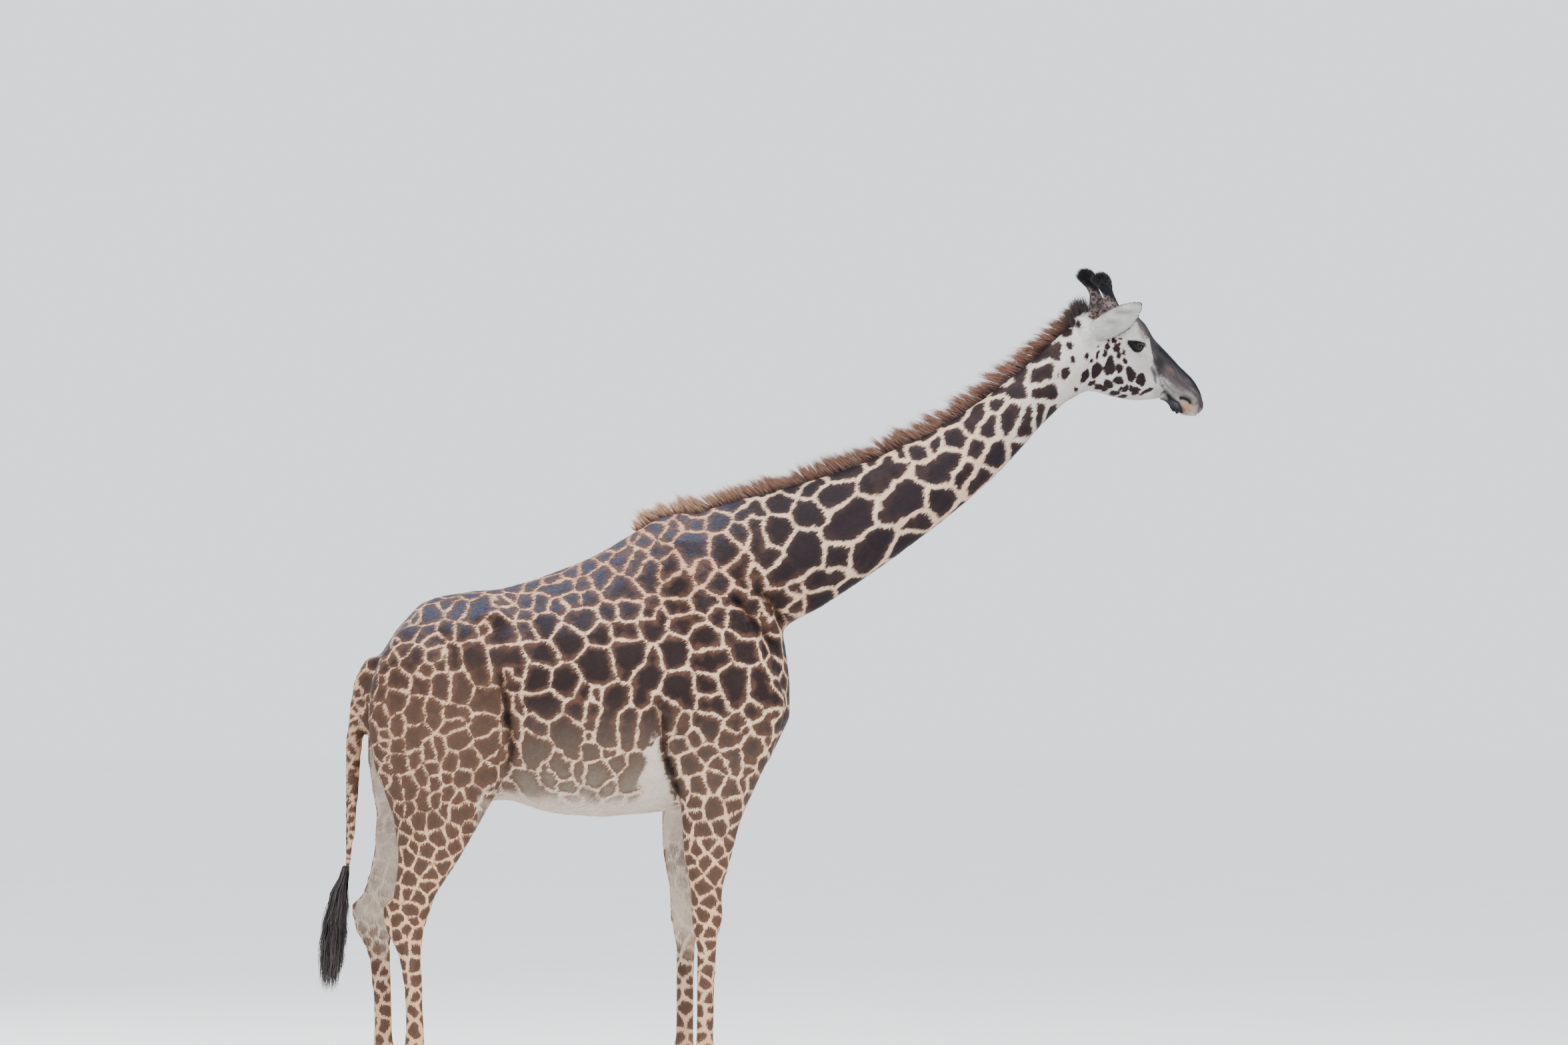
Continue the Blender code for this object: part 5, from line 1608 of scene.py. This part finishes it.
def make_lashes(material, drawn):
    count = LASHES
    for side in SIDES:
        middle, forward, up, out = eye_frame(side)
        a = drawn.uniform(-0.88, 0.92, count) * LID_HALF_LENGTH
        upper = drawn.random(count) < 0.78
        t = a / LID_HALF_LENGTH
        b = np.where(upper, upper_lid(t), -LOWER_LID * (1 - t**2)) + np.where(upper, 0.002, -0.002)
        c = np.sqrt((EYE_RADIUS + 0.0030) ** 2 - a**2 - b**2)
        roots = middle + a[:, None] * forward + b[:, None] * up + c[:, None] * out
        drop = np.where(upper, -0.25, -0.55)[:, None]
        sideways = t[:, None] * 0.45 + drawn.normal(0, 0.10, (count, 1))
        ways = unit(out * 0.85 + up * drop + forward * sideways)
        bends = np.tile(-0.35 * up + 0.1 * forward, (count, 1)) * np.where(upper, 1.0, 0.3)[:, None]
        lengths = np.where(upper, 0.024, 0.010) * drawn.uniform(0.75, 1.1, count)
        spines, tints = bent(roots, ways, bends, lengths), np.full((count, 3), 0.08)
        grow_locks("lashes_" + side, spines, LASH_WIDTH, material, drawn, tints)


def surface_sample(obj, count, drawn):
    """Places scattered evenly over a mesh, with the way each faces."""
    points, faces = arrays_of(obj)
    corners = points[faces]
    cross = np.cross(corners[:, 1] - corners[:, 0], corners[:, 2] - corners[:, 0])
    area = np.linalg.norm(cross, axis=1)
    face = drawn.choice(len(area), count, p=area / area.sum())
    weights = drawn.dirichlet((1, 1, 1), count)
    return (corners[face] * weights[:, :, None]).sum(1), (cross / area[:, None])[face]


def make_ossicones(horn, hair, drawn):
    """Each horn's bare core, its foot sunk and spread into the crown, and the hair that grows on it."""
    back = posed_direction((-1, 0, 0))
    for side in SIDES:
        node = "ossicone_" + side
        core = smooth_copy(node, node + "_core", 0.0032, 8)
        points = points_of(core)
        low, high = (np.array(corner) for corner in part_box(node))
        level = (points[:, 2] - low[2]) / (high[2] - low[2])
        sunk = eased(0.24, 0.0, level)
        points = points - normals_of(core) * 0.003 * (1 - sunk)[:, None]
        foot = points[level < 0.2].mean(0)
        points[:, :2] += (points[:, :2] - foot[:2]) * (0.34 * eased(0.38, 0.0, level))[:, None]
        points[:, 2] -= 0.034 * sunk
        set_points(core, points)
        dress(core, horn)
        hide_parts(node)
        roots, normals = surface_sample(core, HORN_HAIRS, drawn)
        height = (roots[:, 2] - low[2]) / (high[2] - low[2])
        keep = height > 0.01
        roots, normals, height = roots[keep], normals[keep], height[keep]
        crown = eased(0.50, 0.80, height)[:, None]
        ways = normals * (0.25 + 0.45 * crown) + np.array((0, 0, 0.9)) + back * 0.65 * crown
        ways += drawn.normal(0, 0.13, ways.shape)
        ways = unit(ways)
        lengths = (0.0075 + 0.0170 * crown[:, 0]) * drawn.uniform(0.55, 1.25, len(roots))
        speckle = (np.sin(roots * 330).prod(1) > -0.12)[:, None] * 0.75
        level = roots[:, 2] + BLACK_SLANT * (roots[:, 0] - HORN_X) + drawn.normal(0, 0.005, len(height))
        brown = np.array(HORN_BROWN) * (1 - speckle * 0.8)
        tints = blend(brown, HORN_BLACK, eased(BLACK_FROM, BLACK_FROM + BLACK_FADES_OVER, level))
        widths = HORN_HAIR_WIDTH + 0.0005 * crown[:, 0]
        spines = bent(roots - normals * 0.001, ways, back * 0.25 * crown, lengths, 3)
        grow_locks(node + "_hair", spines, widths, hair, drawn, tints)


def mane_crest(points):
    """The mane's middle line: x of each place along it, and the line's x, y and z there."""
    bins = np.linspace(points[:, 0].min(), points[:, 0].max(), 46)
    middles, crest = (bins[1:] + bins[:-1]) / 2, []
    for a, b in zip(bins[:-1], bins[1:]):
        inside = (points[:, 0] >= a) & (points[:, 0] <= b)
        crest.append(points[inside].mean(0) if inside.any() else [np.nan] * 3)
    crest = np.array(crest)
    good = ~np.isnan(crest[:, 0])
    crest = np.stack([np.interp(middles, middles[good], crest[good, k]) for k in range(3)], 1)
    line = crest[:, 1:]
    for _ in range(2):
        line[1:-1] = (line[:-2] + 2 * line[1:-1] + line[2:]) / 4
    return middles, crest


def make_mane(skin_tree, hair, drawn):
    shape = joined_copy(["mane"], "mane_shape")
    with edited(shape) as bm:
        bmesh.ops.triangulate(bm, faces=bm.faces)
    mane_tree = tree_of(shape)
    points = points_of(shape)
    bpy.data.objects.remove(shape)
    low, high = points.min(0), points.max(0)
    middles, crest = mane_crest(points)
    x = drawn.uniform(low[0] + 0.012, high[0] - 0.008, MANE_HAIRS)
    crest_y = np.interp(x, middles, crest[:, 1])
    y = crest_y + drawn.uniform(-1, 1, MANE_HAIRS) * MANE_HALF_WIDTH
    slope = np.interp(x, middles, np.gradient(crest[:, 2], middles))
    turn = np.interp(x, middles, np.gradient(crest[:, 1], middles))
    along = unit(np.stack([np.ones(MANE_HAIRS), turn, slope], 1))
    up = unit(np.array((0, 0, 1.0)) - along * along[:, 2:])
    row = x + 0.25 * (y - crest_y)
    lock = np.round(row / LOCK_PITCH).astype(int)
    gather = lock * LOCK_PITCH - row
    lock = lock % MOST_LOCKS
    tuft = np.round(x / TUFT_PITCH + drawn.normal(0, 0.35, MANE_HAIRS)).astype(int) % MOST_LOCKS
    lean = draws(8).normal(0, 0.09, MOST_LOCKS)[lock]
    lean = lean + draws(7).normal(0, 0.07, MOST_LOCKS)[tuft]
    size = draws(9).uniform(0.80, 1.12, MOST_LOCKS)[lock]
    size = size * (1.06 - 0.40 * abs(gather) / (LOCK_PITCH / 2))
    ways = up - along * (MANE_LEAN + lean + drawn.normal(0, 0.10, MANE_HAIRS))[:, None]
    ways[:, 1] += drawn.normal(0, 0.06, MANE_HAIRS)
    ways = unit(ways)
    roots, lengths, kept = [], [], []
    for k in range(MANE_HAIRS):
        hit = skin_tree.ray_cast(Vector((x[k], y[k], high[2] + 1)), Vector((0, 0, -1)))[0]
        if hit is None:
            continue
        way = Vector(ways[k])
        past = mane_tree.ray_cast(Vector(hit) + way * PAST_MANE, -way, PAST_MANE + 0.02)[3]
        if past is not None and PAST_MANE - past > SHORTEST_MANE:
            roots.append(hit)
            lengths.append(PAST_MANE - past)
            kept.append(k)
    roots, lengths, kept = np.array(roots), np.array(lengths), np.array(kept)
    lengths = (lengths + 0.016) * size[kept] * drawn.uniform(0.74, 1.10, len(kept))
    dark = np.array(MANE_DARK) * drawn.uniform(0.70, 1.35, (len(kept), 1))
    share = eased(0.10, -0.42, x[kept])[:, None] * drawn.uniform(0.55, 1.0, (len(kept), 1))
    tints = np.clip(toward(dark, np.array(MANE_BLOND), share), 0, 1)
    tints = tints * (1 - 0.55 * eased(1.30, 1.42, x[kept])[:, None])
    bends = along[kept] * (0.85 * gather[kept] / lengths - 0.14)[:, None]
    spines = bent(roots - up[kept] * 0.004, ways[kept], bends, lengths)
    hair_obj = grow_locks("mane_hair", spines, MANE_WIDTH, hair, drawn, tints)
    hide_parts("mane")


def make_tail_tuft(hair, drawn):
    points = points_of(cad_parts["tail_tuft"])
    levels = np.linspace(points[:, 2].min(), points[:, 2].max(), 15)
    middles, sizes = [], []
    for z in levels:
        near = abs(points[:, 2] - z) < 0.035
        low, high = points[near].min(0), points[near].max(0)
        middles.append((low + high) / 2)
        sizes.append(np.maximum((high - low) / 2, 0.006))
    middles, sizes = np.array(middles), np.array(sizes)
    count, steps = TAIL_LOCKS, 9
    top = drawn.uniform(0.52, 1.0, count) * (levels[-1] - levels[0]) + levels[0]
    fall = drawn.beta(2.0, 1.3, count) * 0.95 + 0.05
    end = levels[0] + (top - 0.10 - levels[0]) * (1 - fall)
    angle = drawn.uniform(0, 2 * math.pi, count)
    share = np.sqrt(drawn.random(count))
    t = np.linspace(0, 1, steps + 1)
    z = top[:, None] + (end - top)[:, None] * t
    spread = share[:, None] * (0.35 + 0.60 * t) + 0.05
    wave = 0.006 * np.sin(z * drawn.uniform(18, 40, (count, 1)) + drawn.uniform(0, 6.28, (count, 1))) * t
    across = []
    for k, swing in enumerate((np.cos(angle), np.sin(angle))):
        middle, size = np.interp(z, levels, middles[:, k]), np.interp(z, levels, sizes[:, k])
        across.append(middle + size * swing[:, None] * spread + wave)
    spine = np.stack([*across, z], 2)
    tints = np.array((0.10, 0.085, 0.085)) * drawn.uniform(0.6, 1.8, (count, 1))
    tuft = grow_locks("tail_tuft_hair", spine, TAIL_WIDTH, hair, drawn, tints)
    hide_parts("tail_tuft")


def rooted(skin_tree, starts, ways):
    """Where lines from the starts meet the skin, and the way the skin faces there."""
    roots, normals = [], []
    for start, way in zip(starts, ways):
        hit, normal, _, _ = skin_tree.ray_cast(Vector(start), Vector(way).normalized())
        if hit is not None:
            roots.append(hit)
            normals.append(normal)
    return np.array(roots), np.array(normals)


def make_nape_locks(skin_tree, hair, drawn):
    """Dark stray hair behind the horns."""
    count = NAPE_LOCKS
    plan = [drawn.normal(1.425, 0.026, count), drawn.normal(0, 0.012, count), np.full(count, 4.2)]
    starts = posed_of(np.stack(plan, 1))
    roots, normals = rooted(skin_tree, starts, np.tile((0, 0, -1), (count, 1)))
    count = len(roots)
    ways = normals * 0.8 + posed_direction((-0.35, 0, 0.6)) + drawn.normal(0, 0.16, (count, 3))
    lengths = drawn.uniform(0.030, 0.075, count)
    tints = np.array((0.16, 0.13, 0.13)) * drawn.uniform(0.5, 1.6, (count, 1))
    spines = bent(roots, unit(ways), np.tile((0, 0, 0.1), (count, 1)), lengths)
    grow_locks("nape_locks", spines, NAPE_WIDTH, hair, drawn, np.clip(tints, 0, 1))


def make_whiskers(skin_tree, hair, drawn):
    """A few short whiskers about the lips."""
    count = WHISKERS
    plan = [drawn.uniform(1.86, 2.02, count), np.full(count, 0.3), drawn.uniform(3.155, 3.20, count)]
    plan = np.stack(plan, 1)
    plan[::2, 1] *= -1
    starts = posed_of(plan)
    roots, normals = rooted(skin_tree, starts, posed_of(plan * (1, 0, 1)) - starts)
    count = len(roots)
    ways = normals * 0.7 + np.array((0.25, 0, -0.8)) + drawn.normal(0, 0.25, (count, 3))
    lengths = drawn.uniform(0.007, 0.020, count)
    spines = bent(roots, unit(ways), np.tile((0, 0, -0.2), (count, 1)), lengths, 3)
    tints = np.full((count, 3), 0.25)
    grow_locks("chin_whiskers", spines, WHISKER_WIDTH, hair, drawn, tints)


# ---------------------------------------------------------------- floor, light and camera
CAMERA_PLACE = (0.095, -38.5, 2.68)
# Lights: name, place, what each is aimed at, its width, power and colour.
LIGHTS = [
    ("overhead", (-1.0, -2.5, 9.0), (-0.2, 0.0, 1.8), 6.0, 1000, (0.95, 0.98, 1.0)),
    ("key", (4.5, -9.0, 7.5), (0.0, 0.0, 2.0), 4.0, 800, (1.0, 0.97, 0.93)),
    ("rim", (-7.0, 6.0, 5.5), (0.0, 0.0, 2.2), 5.0, 450, (0.95, 0.97, 1.0)),
]
FLOOR_HALF = 60


def make_stage():
    bpy.ops.mesh.primitive_plane_add(size=1, location=(0, 0, 0))
    floor = bpy.context.active_object
    floor.name = "studio_floor"
    corners = [(x, y, 0) for y in (-FLOOR_HALF, FLOOR_HALF) for x in (-FLOOR_HALF, FLOOR_HALF)]
    set_points(floor, np.array(corners, float))
    material, n, shader = principled("pale floor", 0.85)
    cloudy = n.span(n.noise(n.object_place(), 1.5, 3), 0.3, 0.7)
    n.feed(shader["Base Color"], n.mix(cloudy, (0.945, 0.945, 0.940, 1), (0.965, 0.965, 0.960, 1)))
    floor.data.materials.append(material)

    world = bpy.data.worlds.new("studio")
    bpy.context.scene.world = world
    world.use_nodes = True
    sky = world.node_tree.nodes["Background"]
    sky.inputs["Color"].default_value = (0.93, 0.96, 1.0, 1)
    sky.inputs["Strength"].default_value = 1.6

    for name, place, aim, size, power, colour in LIGHTS:
        lamp = bpy.data.lights.new(name, "AREA")
        lamp.shape, lamp.size, lamp.energy, lamp.color = "DISK", size, power, colour
        obj = bpy.data.objects.new(name, lamp)
        bpy.context.scene.collection.objects.link(obj)
        obj.location = place
        obj.rotation_euler = (Vector(aim) - Vector(place)).to_track_quat("-Z", "Y").to_euler()

    camera = bpy.data.cameras.new("camera")
    camera.lens, camera.sensor_width, camera.clip_end = 200, 36, 200
    obj = bpy.data.objects.new("camera", camera)
    bpy.context.scene.collection.objects.link(obj)
    obj.location = CAMERA_PLACE
    obj.rotation_euler = (math.radians(90), 0, 0)
    bpy.context.scene.camera = obj


# ---------------------------------------------------------------- the animal


def make_animal():
    skin = make_skin()
    shape_body(skin)
    shape_face(skin)
    shape_lids(skin)
    join_ears(skin)
    coat = Coat(skin)
    skin_coat, coat_hair = coat_materials()
    uv = unwrap(skin)
    dress_skin(skin, coat, skin_coat)
    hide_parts(*FLESH, *EARS)
    for number, (name, share, count) in enumerate(coat_zones(coat)):
        grow_tufts(coat, uv, name, share, count, coat_hair, draws(100 + number))
    blond_hair = hair_material("mane hair", (0.105, 0.058, 0.046), (0.60, 0.40, 0.29))
    dark_hair = hair_material("dark hair", (0.16, 0.14, 0.14), (0.20, 0.17, 0.16), 0.38)
    make_mane(coat.skin_tree, blond_hair, draws(31))
    make_tail_tuft(dark_hair, draws(32))
    make_ossicones(ossicone_material(), dark_hair, draws(33))
    strays = draws(34)
    make_nape_locks(coat.skin_tree, dark_hair, strays)
    make_whiskers(coat.skin_tree, dark_hair, strays)
    make_eyes(eye_material())
    make_lashes(dark_hair, draws(35))
    make_hooves(hoof_material())


make_animal()
make_stage()
